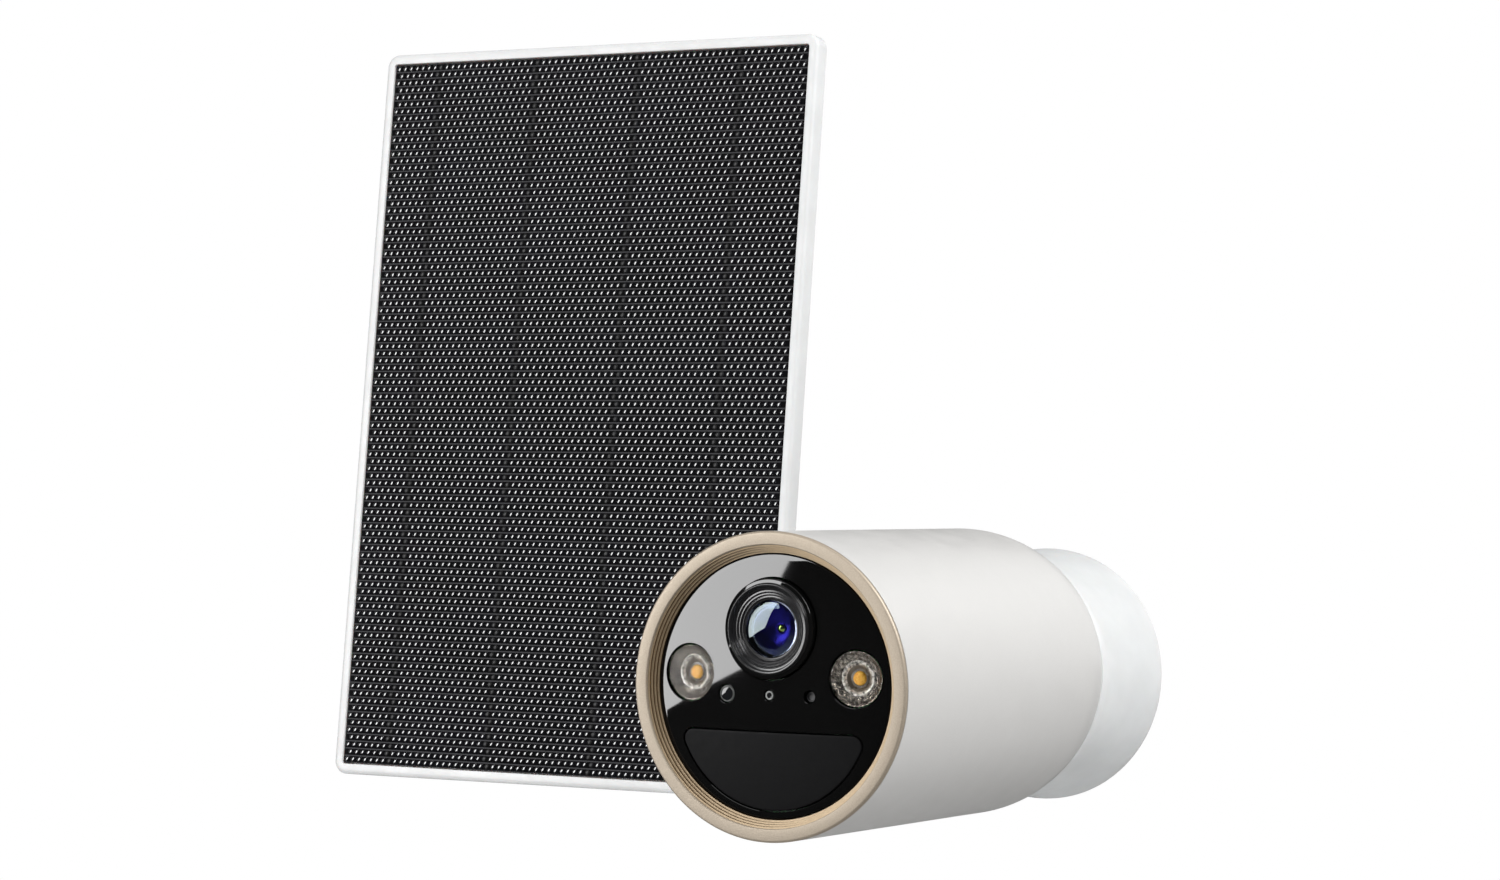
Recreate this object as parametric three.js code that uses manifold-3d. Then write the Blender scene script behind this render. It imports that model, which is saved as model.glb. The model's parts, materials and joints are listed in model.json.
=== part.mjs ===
// Wire-free security camera on a magnetic dome mount, with its solar panel on a tilting bracket.
// Both units are fixed to one flat wall, the plane y = 0. Millimetres, +Z up, the front faces -Y.
// The origin is the centre of the camera base's back face.

import * as THREE from 'three';
import { mergeVertices } from 'three/addons/utils/BufferGeometryUtils.js';
import Module from 'manifold-3d';

const wasm = await Module();
wasm.setup();

// ---------------------------------------------------------------- driving dimensions

const GAP = 0.3;                // running clearance between neighbouring pieces
const FINE = 36;                // segments of large round pieces
const COARSE = 20;              // segments of small round pieces
const TINY = 10;                // segments of screws, pins and ports

// Camera head: lengths are measured forward from the dome's centre, along the head's axis.
const BODY_RADIUS = 34;
const WALL = 2.2;
const FRONT_PLANE = 92.3;
const DOME_TO_WALL = 49.2;
const NOSE_DOWN = THREE.MathUtils.degToRad(2.8);

const RING_FLAT_RADIUS = 31;    // inner edge of the front ring's flat face
const RING_BORE = 29.2;
const RING_DEPTH = 2.6;         // depth of the stepped throat
const RING_STEPS = 4;
const WINDOW_RADIUS = RING_BORE - GAP;
const WINDOW_CROWN = 91.75;     // the window's highest point
const WINDOW_CURVE = 200;       // radius of the window's gentle dome
const WINDOW_BACK = 87.1;

const LENS_Z = 12.6;
const LENS_HOLE = 11.3;
const SPOT_X = 20.75;
const SPOT_Z = 2.4;
const SPOT_RADIUS = 6.1;
const DOT_Z = -1.9;
const LIGHT_SENSOR_X = -10.9;
const MICROPHONE_X = 9.9;
const PIR_TOP = -9.7;
const PIR_RADIUS = 24.6;
const PIR_CENTRE_Z = -2.9;
const PIR_CORNER = 2.5;
const PIR_SENSOR_Z = -17.5;

const PORT_BACK = 8;            // port opening in the casing's underside
const PORT_FRONT = 36;
const PORT_HALF_WIDTH = 8.5;
const TRAY_FLOOR = -29.6;

// Camera base: lengths are measured forward from the wall.
const BASE_RADIUS = 31.1;
const BASE_RIM_RADIUS = 28.1;
const BASE_DEPTH = 27;
const SEAT_RADIUS = 36.1;       // bowl under the friction pad, concentric with the dome
const PAD_THICKNESS = 1.5;
const PAD_ANGLE = 45;
const MAGNET_RADIUS = 11;

// Solar panel and bracket
const PANEL_X = -115.4;
const PANEL_Z = 62.1;
const PANEL_STAND_OFF = 45;     // front face, from the wall
const PANEL_LEAN = THREE.MathUtils.degToRad(3.34);
const CELL_WIDTH = 125.8;
const CELL_HEIGHT = 185.4;
const BEZEL = 2.6;
const PANEL_RIM = 5;
const PANEL_CORNER = 3.4;
const HOUSING_SIZE = 62;
const HOUSING_BACK = 13.5;
const HINGE_STAND_OFF = 20;
const KNUCKLE_RADIUS = 6;
const STUD_RADIUS = 2.8;
const BOLT_RADIUS = 2.5;
const EAR_INNER = 7.9;
const EAR_OUTER = 11.6;
const PANEL_REACH = (PANEL_STAND_OFF - HINGE_STAND_OFF) / Math.cos(PANEL_LEAN);
const HINGE_Z = PANEL_Z - PANEL_REACH * Math.sin(PANEL_LEAN);

// ---------------------------------------------------------------- geometry helpers

function signedVolume(geometry) {
  const at = geometry.attributes.position;
  const index = geometry.index;
  const a = new THREE.Vector3();
  const b = new THREE.Vector3();
  const c = new THREE.Vector3();
  let total = 0;
  for (let i = 0; i < index.count; i += 3) {
    a.fromBufferAttribute(at, index.getX(i));
    b.fromBufferAttribute(at, index.getX(i + 1));
    c.fromBufferAttribute(at, index.getX(i + 2));
    total += a.dot(b.cross(c));
  }
  return total;
}

// Position only, shared vertices merged, faces pointing out, no zero-area faces at the axis.
function closed(source) {
  const geometry = source.clone();
  geometry.deleteAttribute('normal');
  geometry.deleteAttribute('uv');
  const merged = mergeVertices(geometry, 1e-4);
  const index = Array.from(merged.index.array);
  const kept = [];
  for (let i = 0; i < index.length; i += 3) {
    const [p, q, r] = index.slice(i, i + 3);
    if (p !== q && q !== r && r !== p) kept.push(p, q, r);
  }
  merged.setIndex(kept);
  if (signedVolume(merged) < 0) merged.setIndex(kept.reverse());
  return merged;
}

function solid(geometry) {
  const shape = closed(geometry);
  const mesh = new wasm.Mesh({
    numProp: 3,
    vertProperties: new Float32Array(shape.attributes.position.array),
    triVerts: new Uint32Array(shape.index.array),
  });
  return new wasm.Manifold(mesh);
}

function fromSolid(body) {
  const mesh = body.getMesh();
  const geometry = new THREE.BufferGeometry();
  geometry.setAttribute('position', new THREE.BufferAttribute(mesh.vertProperties, 3));
  geometry.setIndex(new THREE.BufferAttribute(mesh.triVerts, 1));
  return geometry;
}

function cut(geometry, ...cutters) {
  return fromSolid(cutters.reduce((body, tool) => body.subtract(solid(tool)), solid(geometry)));
}

function join(geometry, ...others) {
  return fromSolid(others.reduce((body, other) => body.add(solid(other)), solid(geometry)));
}

function common(geometry, other) {
  return fromSolid(solid(geometry).intersect(solid(other)));
}

// Piece turned about the forward axis, from [radius, forward] points.
function spun(profile, segments = FINE) {
  const points = profile.map(([radius, forward]) => new THREE.Vector2(radius, -forward));
  return closed(new THREE.LatheGeometry(points, segments));
}

function spunRing(inner, outer, back, front, segments = FINE) {
  return spun([[inner, back], [outer, back], [outer, front], [inner, front], [inner, back]], segments);
}

function spunDisc(radius, back, front, segments = FINE) {
  return spun([[0, back], [radius, back], [radius, front], [0, front]], segments);
}

// Points of an arc about a centre on the forward axis, from angle a to angle b, in degrees from the rear.
function rearArc(radius, centre, a, b, steps) {
  return Array.from({ length: steps + 1 }, (_, i) => {
    const angle = THREE.MathUtils.degToRad(a + (b - a) * i / steps);
    return [radius * Math.sin(angle), centre - radius * Math.cos(angle)];
  });
}

function roundedRect(width, height, corner) {
  const x = width / 2;
  const z = height / 2;
  const shape = new THREE.Shape();
  shape.moveTo(-x + corner, -z);
  shape.lineTo(x - corner, -z);
  shape.absarc(x - corner, -z + corner, corner, -Math.PI / 2, 0, false);
  shape.lineTo(x, z - corner);
  shape.absarc(x - corner, z - corner, corner, 0, Math.PI / 2, false);
  shape.lineTo(-x + corner, z);
  shape.absarc(-x + corner, z - corner, corner, Math.PI / 2, Math.PI, false);
  shape.lineTo(-x, -z + corner);
  shape.absarc(-x + corner, -z + corner, corner, Math.PI, 1.5 * Math.PI, false);
  return shape;
}

// Extrusion of an upright outline, x across and z up, from one forward distance to another.
function slab(shape, back, front, curveSegments = 4) {
  const geometry = new THREE.ExtrudeGeometry(shape, { depth: front - back, bevelEnabled: false, curveSegments });
  geometry.rotateX(Math.PI / 2);
  geometry.translate(0, -back, 0);
  return closed(geometry);
}

// The same with all its long edges bevelled, inside the outline
function softSlab(shape, back, front, bevel) {
  const geometry = new THREE.ExtrudeGeometry(shape, {
    depth: front - back - 2 * bevel,
    bevelThickness: bevel,
    bevelSize: bevel,
    bevelOffset: -bevel,
    bevelSegments: 1,
    curveSegments: 4,
  });
  geometry.rotateX(Math.PI / 2);
  geometry.translate(0, -back - bevel, 0);
  return closed(geometry);
}

// Extrusion across, from one x to another, of an outline given as forward and up.
function sideways(shape, from, to) {
  const geometry = new THREE.ExtrudeGeometry(shape, { depth: to - from, bevelEnabled: false, curveSegments: 8 });
  const forward = new THREE.Vector3(0, -1, 0);
  const up = new THREE.Vector3(0, 0, 1);
  const across = new THREE.Vector3(1, 0, 0);
  geometry.applyMatrix4(new THREE.Matrix4().makeBasis(forward, up, across));
  geometry.translate(from, 0, 0);
  return closed(geometry);
}

// Extrusion of a flat outline, x across and y deep, from one height to another.
function tile(shape, bottom, top, forward, curveSegments = 3) {
  const geometry = new THREE.ExtrudeGeometry(shape, { depth: top - bottom, bevelEnabled: false, curveSegments });
  geometry.translate(0, -forward, bottom);
  return closed(geometry);
}

function block(width, depth, height, x = 0, forward = 0, z = 0) {
  const geometry = new THREE.BoxGeometry(width, depth, height);
  geometry.translate(x, -forward, z);
  return closed(geometry);
}

// Round bar along X or Z
function crossBar(radius, from, to, segments = TINY) {
  const geometry = new THREE.CylinderGeometry(radius, radius, to - from, segments);
  geometry.translate(0, (from + to) / 2, 0);
  geometry.rotateZ(-Math.PI / 2);
  return closed(geometry);
}

function uprightBar(radius, from, to, forward, segments = TINY) {
  const geometry = new THREE.CylinderGeometry(radius, radius, to - from, segments);
  geometry.rotateX(Math.PI / 2);
  geometry.translate(0, -forward, (from + to) / 2);
  return closed(geometry);
}

function moved(geometry, x, y, z) {
  return geometry.clone().translate(x, y, z);
}

// ---------------------------------------------------------------- materials

const LOOKS = {
  champagne: ['#cbb89e', 0.38, 0.85],
  pearl: ['#d6d3ce', 0.42, 0.25],
  white: ['#ececea', 0.5, 0.0],
  glossBlack: ['#0b0c0e', 0.08, 0.0],
  black: ['#1b1c1f', 0.55, 0.0],
  rubber: ['#c9c8c5', 0.8, 0.0],
  darkRubber: ['#26272a', 0.85, 0.0],
  glass: ['#20263f', 0.05, 0.1],
  clear: ['#dfe4e6', 0.1, 0.0],
  mirror: ['#d8d8d4', 0.15, 1.0],
  phosphor: ['#e8b83a', 0.5, 0.0],
  steel: ['#9fa3a6', 0.3, 1.0],
  nickel: ['#c6c5c2', 0.22, 1.0],
  brass: ['#c49a4a', 0.3, 1.0],
  board: ['#15572f', 0.5, 0.0],
  cell: ['#0d111a', 0.3, 0.1],
  laminate: ['#12151b', 0.35, 0.0],
  sleeve: ['#3c6fb0', 0.4, 0.0],
};

function piece(group, name, geometry, look, x = 0, y = 0, z = 0) {
  const [color, roughness, metalness] = LOOKS[look];
  const finished = geometry.toNonIndexed();
  finished.computeVertexNormals();
  const mesh = new THREE.Mesh(finished, new THREE.MeshStandardMaterial({ color, roughness, metalness }));
  mesh.name = name;
  mesh.position.set(x, y, z);
  group.add(mesh);
}

// ---------------------------------------------------------------- camera head: shell

function frontRing() {
  const points = [[BODY_RADIUS, 91.3], [BODY_RADIUS, 91.9], [BODY_RADIUS - 0.4, FRONT_PLANE]];
  const tread = (RING_FLAT_RADIUS - RING_BORE) / RING_STEPS;
  const rise = RING_DEPTH / RING_STEPS;
  for (let i = 0; i < RING_STEPS; i += 1) {
    points.push([RING_FLAT_RADIUS - tread * i, FRONT_PLANE - rise * i]);
    points.push([RING_FLAT_RADIUS - tread * i, FRONT_PLANE - rise * (i + 1)]);
  }
  points.push([RING_BORE, FRONT_PLANE - RING_DEPTH], [RING_BORE, 84.5], [31.2, 84.5], [31.2, 91.3]);
  points.push(points[0]);
  return spun(points);
}

function casing() {
  const inner = BODY_RADIUS - WALL;
  const profile = [
    [BODY_RADIUS, 91],
    ...rearArc(BODY_RADIUS, 0, 90, 0, 7),
    ...rearArc(inner, 0, 0, 90, 6),
    [inner, 91],
    [BODY_RADIUS, 91],
  ];
  const length = PORT_FRONT - PORT_BACK;
  const port = tile(roundedRect(2 * PORT_HALF_WIDTH, length, 3), -40, -28, (PORT_FRONT + PORT_BACK) / 2);
  const slots = [-6, -3, 0, 3, 6].map((x) => {
    const slot = tile(roundedRect(1.4, 12, 0.65), -40, -28, 60, 2);
    return moved(slot, x, 0, 0);
  });
  return cut(spun(profile), port, ...slots);
}

function portCover() {
  const outer = BODY_RADIUS;
  const inner = BODY_RADIUS - 1.8;
  const middle = (PORT_FRONT + PORT_BACK) / 2;
  const width = 2 * (PORT_HALF_WIDTH - GAP);
  const length = PORT_FRONT - PORT_BACK - 2 * GAP;
  const outline = tile(roundedRect(width, length, 2.7), -40, -28, middle);
  const plug = tile(roundedRect(width - 3, length - 5, 1.8), -32.6, -31.2, middle);
  const skin = common(spunRing(inner, outer, PORT_BACK, PORT_FRONT, 48), outline);
  const recess = tile(roundedRect(width - 5, length - 7, 1.2), -31.9, -30, middle);
  return cut(join(skin, plug), recess);
}

function shell(head) {
  piece(head, 'front_ring', frontRing(), 'champagne');
  piece(head, 'casing', casing(), 'pearl');
  piece(head, 'front_gasket', spunRing(29.7, 31.4, 82.6, 84.1, COARSE), 'darkRubber');
  piece(head, 'port_cover', portCover(), 'rubber');
}

// ---------------------------------------------------------------- camera head: front face

function crownAt(radius) {
  return WINDOW_CROWN - radius * radius / (2 * WINDOW_CURVE);
}

// Domed disc with its crown lowered by a set amount
function crownedDisc(back, lowered) {
  const rings = [0, 10, 20, WINDOW_RADIUS];
  return spun([[0, back], [WINDOW_RADIUS, back], ...rings.reverse().map((r) => [r, crownAt(r) - lowered])]);
}

// D shape: a flat top edge and a round lower edge, with rounded corners
function pirOutline(inset) {
  const radius = PIR_RADIUS - inset;
  const top = PIR_TOP - inset - PIR_CENTRE_Z;
  const corner = PIR_CORNER - inset;
  const cornerZ = top - corner;
  const cornerX = Math.sqrt((radius - corner) ** 2 - cornerZ ** 2);
  const leave = Math.atan2(cornerZ, cornerX);
  const shape = new THREE.Shape();
  shape.moveTo(-cornerX, top);
  shape.absarc(-cornerX, cornerZ, corner, Math.PI / 2, Math.PI - leave, false);
  shape.absarc(0, 0, radius, Math.PI - leave, 2 * Math.PI + leave, false);
  shape.absarc(cornerX, cornerZ, corner, leave, Math.PI / 2, false);
  return shape;
}

function pirSlab(inset, back, front) {
  return moved(slab(pirOutline(inset), back, front, 8), 0, 0, PIR_CENTRE_Z);
}

function holeAt(radius, x, z, back, front, segments = COARSE) {
  return moved(spunDisc(radius, back, front, segments), x, 0, z);
}

function frontWindow() {
  const back = WINDOW_BACK - 1;
  const front = FRONT_PLANE + 1;
  return cut(
    crownedDisc(WINDOW_BACK, 0),
    holeAt(LENS_HOLE, 0, LENS_Z, back, front),
    holeAt(SPOT_RADIUS + GAP, -SPOT_X, SPOT_Z, back, front),
    holeAt(SPOT_RADIUS + GAP, SPOT_X, SPOT_Z, back, front),
    holeAt(2.1, LIGHT_SENSOR_X, DOT_Z, back, front, TINY),
    holeAt(1.3, 0, DOT_Z, back, front, TINY),
    holeAt(1.4, MICROPHONE_X, DOT_Z, back, front, TINY),
    pirSlab(0, back, front),
  );
}

function pirWindow() {
  return common(crownedDisc(WINDOW_BACK, 0.15), pirSlab(GAP, WINDOW_BACK - 1, FRONT_PLANE + 1));
}

function frontCarrier() {
  return cut(
    spunDisc(WINDOW_RADIUS, 80, 85),
    holeAt(9, 0, LENS_Z, 79, 86),
    holeAt(5.4, 0, PIR_SENSOR_Z, 79, 86),
    holeAt(1.8, LIGHT_SENSOR_X, DOT_Z, 79, 86, TINY),
    holeAt(1.8, MICROPHONE_X, DOT_Z, 79, 86, TINY),
  );
}

function lightBoard() {
  return cut(
    spunDisc(WINDOW_RADIUS - 0.6, 85.5, 86.6),
    holeAt(9, 0, LENS_Z, 85, 87),
    holeAt(5.4, 0, PIR_SENSOR_Z, 85, 87),
  );
}

const LENS_BEZEL = [
  [11, 87.2], [11, 91.3], [10.35, 92.9], [9.9, 93.1], [9.3, 92.9], [9, 92.3],
  [8.3, 92.3], [8.3, 91.7], [7.4, 91.7], [7.4, 91.2], [6.4, 91.2], [6.4, 87.2], [11, 87.2],
];

const LENS_FRONT_GLASS = [
  [0, 92.7], [2.2, 92.58], [4.2, 92.15], [5.4, 91.65], [6.1, 91.2], [6.1, 89.8], [4.5, 89.4], [0, 88.6],
];

const LENS_REAR_GLASS = [[0, 84.6], [3, 84.3], [5.6, 83.4], [5.6, 82.2], [0, 82.2]];

const LENS_BARREL = [
  [6.2, 86.9], [8.6, 86.9], [8.6, 72.4], [4, 72.4], [4, 79.6], [6.2, 79.6], [6.2, 86.9],
];

const REFLECTOR = [
  [2.7, 86.9], [3.4, 86.9], [SPOT_RADIUS, 88.9], [SPOT_RADIUS, 89.9], [5.7, 89.9], [4.6, 88.6], [2.7, 87.4],
  [2.7, 86.9],
];

const SPOT_LENS = [[0, 91], [3.2, 90.93], [5.5, 90.7], [SPOT_RADIUS, 90.5], [SPOT_RADIUS, 90.2], [0, 90.2]];

function face(head) {
  piece(head, 'front_window', frontWindow(), 'glossBlack');
  piece(head, 'pir_window', pirWindow(), 'black');
  piece(head, 'front_carrier', frontCarrier(), 'black');
  piece(head, 'light_board', lightBoard(), 'board');
  piece(head, 'light_sensor_window', spun([[0, 91.4], [1.2, 91.25], [1.8, 90.9], [1.8, 87.4], [0, 87.4]], TINY),
    'clear', LIGHT_SENSOR_X, 0, DOT_Z);
  piece(head, 'status_light_pipe', spunDisc(1, 87.4, 91.5, TINY), 'clear', 0, 0, DOT_Z);
  piece(head, 'microphone', spunDisc(1.1, 87.4, 90.6, TINY), 'black', MICROPHONE_X, 0, DOT_Z);
  piece(head, 'pir_sensor', spunDisc(4.6, 81, 86, COARSE), 'nickel', 0, 0, PIR_SENSOR_Z);

  piece(head, 'lens_bezel', spun(LENS_BEZEL, COARSE), 'black', 0, 0, LENS_Z);
  piece(head, 'lens_front_glass', spun(LENS_FRONT_GLASS, COARSE), 'glass', 0, 0, LENS_Z);
  piece(head, 'lens_rear_glass', spun(LENS_REAR_GLASS, COARSE), 'glass', 0, 0, LENS_Z);
  piece(head, 'lens_barrel', spun(LENS_BARREL, COARSE), 'black', 0, 0, LENS_Z);
  piece(head, 'image_sensor', block(8, 1.2, 6, 0, 71.4, 0), 'cell', 0, 0, LENS_Z);
  piece(head, 'sensor_board', block(22, 1.4, 20, 0, 69.7, 0), 'board', 0, 0, LENS_Z);

  for (const [side, x] of [['left', -SPOT_X], ['right', SPOT_X]]) {
    const led = join(block(3.4, 0.7, 3.4, 0, 87.25, 0), spunDisc(1.6, 87.3, 88.5, TINY));
    piece(head, `spotlight_lens_${side}`, spun(SPOT_LENS, COARSE), 'clear', x, 0, SPOT_Z);
    piece(head, `spotlight_reflector_${side}`, spun(REFLECTOR, COARSE), 'mirror', x, 0, SPOT_Z);
    piece(head, `spotlight_led_${side}`, led, 'phosphor', x, 0, SPOT_Z);
  }
}

// ---------------------------------------------------------------- camera head: inside

const CELL_RADIUS = 10.6;
const CELL_X = 11.4;
const CELL_Z = 4;
const CELL_BACK = -14;
const CELL_FRONT = 56;

function batteryFrame() {
  const bore = CELL_RADIUS + GAP + 0.05;
  const width = 2 * (CELL_X + bore + 1.2);
  const height = 2 * (bore + 1.2);
  const body = slab(roundedRect(width, height, height / 2 - 0.01), -16, 58);
  return cut(body, holeAt(bore, -CELL_X, 0, -20, 62), holeAt(bore, CELL_X, 0, -20, 62));
}

function inside(head) {
  piece(head, 'battery_frame', batteryFrame(), 'black', 0, 0, CELL_Z);
  for (const [side, x] of [['left', -CELL_X], ['right', CELL_X]]) {
    const cell = spun([[0, CELL_BACK], [CELL_RADIUS, CELL_BACK], [CELL_RADIUS, CELL_FRONT - 1.5],
      [4, CELL_FRONT - 1.5], [4, CELL_FRONT], [0, CELL_FRONT]], COARSE);
    piece(head, `battery_cell_${side}`, cell, 'sleeve', x, 0, CELL_Z);
  }
  piece(head, 'main_board', block(44, 64, 1.6, 0, 30, -12), 'board');
  piece(head, 'antenna', block(26, 14, 0.8, 0, 40, 27), 'brass');
  piece(head, 'speaker', uprightBar(9, -29.2, -24.6, 60, COARSE), 'black');
  piece(head, 'keeper_plate', spun([...rearArc(31.4, 0, 0, 32, 3), ...rearArc(29, 0, 32, 0, 3)], COARSE), 'steel');
}

// ---------------------------------------------------------------- camera head: ports and buttons

const POWER_AT = 13;
const USB_AT = 19.5;
const CARD_AT = 25.5;
const RESET_AT = 31;

function ports(head) {
  const middle = (PORT_FRONT + PORT_BACK) / 2;
  const tray = cut(
    tile(roundedRect(20, PORT_FRONT - PORT_BACK + 4, 2), TRAY_FLOOR, TRAY_FLOOR + 2, middle),
    uprightBar(2.8, -40, -20, POWER_AT),
    uprightBar(1.6, -40, -20, RESET_AT),
    tile(roundedRect(9.8, 4, 1.9), -40, -20, USB_AT),
    tile(roundedRect(11.8, 1.7, 0.4), -40, -20, CARD_AT),
  );
  const socket = join(
    cut(
      tile(roundedRect(9.2, 3.4, 1.6), -30, -22.6, USB_AT),
      tile(roundedRect(8.4, 2.6, 1.25), -31, -23.4, USB_AT),
    ),
    block(6.6, 0.7, 5.6, 0, USB_AT, -26),
  );
  piece(head, 'port_tray', tray, 'black');
  piece(head, 'usb_socket', socket, 'nickel');
  piece(head, 'memory_card', block(11, 1, 14.5, 0, CARD_AT, -22.75), 'black');
  piece(head, 'power_button', join(uprightBar(2.5, -30.7, -27, POWER_AT), uprightBar(3.4, -27.2, -26.2, POWER_AT)),
    'darkRubber');
  piece(head, 'reset_button', join(uprightBar(1.3, -30.3, -27, RESET_AT), uprightBar(2.2, -27.2, -26.2, RESET_AT)),
    'darkRubber');
}

// ---------------------------------------------------------------- camera base

function basePlate() {
  const plate = spun([[0, 0], [28.5, 0], [28.5, 6], [26.3, 6], [26.3, 3], [12.5, 3], [12.5, 4.3], [0, 4.3]]);
  return cut(plate, holeAt(2.3, -19, 0, -1, 7, TINY), holeAt(2.3, 19, 0, -1, 7, TINY));
}

function baseShell() {
  const rimClear = BODY_RADIUS + 0.5;
  const profile = [
    [BASE_RADIUS, 0.4], [BASE_RADIUS, 2], [BASE_RIM_RADIUS, 25.4], [27.3, BASE_DEPTH],
    ...rearArc(rimClear, DOME_TO_WALL, 49.9, 46.4, 1),
    ...rearArc(SEAT_RADIUS, DOME_TO_WALL, 46, 22, 3),
    [13.5, 8], [15.5, 8],
    ...rearArc(SEAT_RADIUS + 2.5, DOME_TO_WALL, 24, 38, 2),
    [26.6, 18.8], [28.9, 6.6], [28.9, 0.4], [BASE_RADIUS, 0.4],
  ];
  return cut(spun(profile), uprightBar(1.5, -35, -27, 4.4));
}

function seatPad() {
  const back = SEAT_RADIUS - GAP;
  return spun([
    ...rearArc(back, DOME_TO_WALL, 0, PAD_ANGLE, 4),
    ...rearArc(back - PAD_THICKNESS, DOME_TO_WALL, PAD_ANGLE, 0, 4),
  ]);
}

function cameraBase(group) {
  piece(group, 'base_plate', basePlate(), 'black');
  piece(group, 'base_shell', baseShell(), 'white');
  piece(group, 'base_lock_screw', uprightBar(1.2, -30.6, -28.9, 4.4), 'steel');
  piece(group, 'magnet_yoke', spun([[0, 4.6], [13.2, 4.6], [13.2, 12.9], [MAGNET_RADIUS + GAP, 12.9],
    [MAGNET_RADIUS + GAP, 6.8], [0, 6.8]], COARSE), 'steel');
  piece(group, 'magnet', spunDisc(MAGNET_RADIUS, 7.1, 12.8, COARSE), 'nickel');
  piece(group, 'seat_pad', seatPad(), 'darkRubber');
}

// ---------------------------------------------------------------- panel bracket

function bracketPlate() {
  const plate = join(
    spun([[0, 0], [24, 0], [24, 2.6], [22.6, 4], [0, 4]]),
    spunDisc(5, 3.5, 9.5, COARSE),
  );
  const holes = [90, 210, 330].map((angle) => {
    const turn = THREE.MathUtils.degToRad(angle);
    return holeAt(2.3, 18 * Math.cos(turn), 18 * Math.sin(turn), -1, 5, TINY);
  });
  return cut(plate, ...holes, spunDisc(1.9, 4, 10, TINY));
}

function bracketArm() {
  const ear = new THREE.Shape();
  ear.moveTo(6, -KNUCKLE_RADIUS);
  ear.lineTo(HINGE_STAND_OFF, -KNUCKLE_RADIUS);
  ear.absarc(HINGE_STAND_OFF, 0, KNUCKLE_RADIUS, -Math.PI / 2, Math.PI / 2, false);
  ear.lineTo(6, KNUCKLE_RADIUS);
  const body = join(
    spunRing(5 + GAP, 13, 4.3, 9.3, COARSE),
    sideways(ear, -EAR_OUTER, -EAR_INNER),
    sideways(ear, EAR_INNER, EAR_OUTER),
  );
  return cut(body, moved(crossBar(BOLT_RADIUS + GAP, -20, 20), 0, -HINGE_STAND_OFF, 0));
}

function hingeBolt() {
  const shank = crossBar(BOLT_RADIUS, -EAR_OUTER - 1, 14.6);
  return join(shank, crossBar(4.4, -EAR_OUTER - 3.2, -EAR_OUTER - GAP, 6));
}

function knob() {
  const grip = crossBar(8, EAR_OUTER + GAP, 19, COARSE);
  const scallops = Array.from({ length: 6 }, (_, i) => {
    const angle = i * Math.PI / 3;
    return moved(crossBar(2.6, 13.4, 20), 0, 9 * Math.cos(angle), 9 * Math.sin(angle));
  });
  return cut(grip, crossBar(BOLT_RADIUS + GAP, 10, 15), ...scallops);
}

function tiltHead() {
  const body = join(
    crossBar(KNUCKLE_RADIUS, -EAR_INNER + GAP, EAR_INNER - GAP, COARSE),
    spunDisc(5.4, 0, 6.8, COARSE),
    spunDisc(STUD_RADIUS, 6, 18, TINY),
  );
  return cut(body, crossBar(BOLT_RADIUS + GAP, -20, 20));
}

function bracket(fixed, tilting) {
  piece(fixed, 'bracket_plate', bracketPlate(), 'white');
  piece(fixed, 'bracket_arm', bracketArm(), 'white');
  piece(fixed, 'swivel_screw', join(spunDisc(1.6, 5.6, 10, TINY), spunDisc(7, 9.8, 11.4, COARSE)), 'steel');
  piece(fixed, 'hinge_bolt', hingeBolt(), 'steel', 0, -HINGE_STAND_OFF, 0);
  piece(fixed, 'hinge_knob', knob(), 'black', 0, -HINGE_STAND_OFF, 0);
  piece(tilting, 'tilt_head', tiltHead(), 'white');
  piece(tilting, 'lock_ring', spunRing(STUD_RADIUS + GAP, 8.2, 7.1, 11.2, TINY), 'black');
}

// ---------------------------------------------------------------- solar panel

const FACE = PANEL_REACH;       // the panel's front face, forward of the tilt hinge
const FRAME_BACK = FACE - PANEL_RIM;

function panelFrame() {
  const outer = roundedRect(CELL_WIDTH + 2 * BEZEL, CELL_HEIGHT + 2 * BEZEL, PANEL_CORNER);
  const pocket = slab(roundedRect(CELL_WIDTH, CELL_HEIGHT, 1), FACE - 2.8, FACE + 1);
  return cut(softSlab(outer, FRAME_BACK, FACE, 0.7), pocket);
}

function rearHousing() {
  const back = FACE - HOUSING_BACK;
  const front = FRAME_BACK - GAP;
  const shell = softSlab(roundedRect(HOUSING_SIZE, HOUSING_SIZE, 9), back, front, 1);
  const hollow = slab(roundedRect(HOUSING_SIZE - 4, HOUSING_SIZE - 4, 7), back + 2, front + 1);
  const boss = spunDisc(7.5, back + 1, front - 0.5, COARSE);
  const inlet = uprightBar(3, -40, -20, FACE - 9.4);
  return cut(join(cut(shell, hollow), boss), spunDisc(5.3, back - 1, front + 1, COARSE), inlet);
}

function cableGland() {
  const body = join(uprightBar(2.7, -31.5, -27.6, FACE - 9.4), uprightBar(3.8, -36, -31.3, FACE - 9.4));
  return cut(body, uprightBar(1.7, -40, -20, FACE - 9.4));
}

function solarPanel(panel) {
  const laminate = roundedRect(CELL_WIDTH - 2 * GAP, CELL_HEIGHT - 2 * GAP, 0.8);
  const insert = spunRing(STUD_RADIUS + GAP, 5, FACE - HOUSING_BACK + GAP, FACE - 6, COARSE);
  piece(panel, 'panel_frame', panelFrame(), 'white');
  piece(panel, 'panel_laminate', slab(laminate, FACE - 1.8, FACE - GAP), 'laminate');
  piece(panel, 'panel_cells', block(121, 0.4, 180, 0, FACE - 2.3, 0), 'cell');
  piece(panel, 'panel_rear_housing', rearHousing(), 'white');
  piece(panel, 'charge_board', block(46, 1.6, 15, 0, FACE - 9.2, -18.5), 'board');
  piece(panel, 'stud_insert', insert, 'brass');
  piece(panel, 'cable_gland', cableGland(), 'darkRubber');
}

// ---------------------------------------------------------------- assembly

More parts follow.
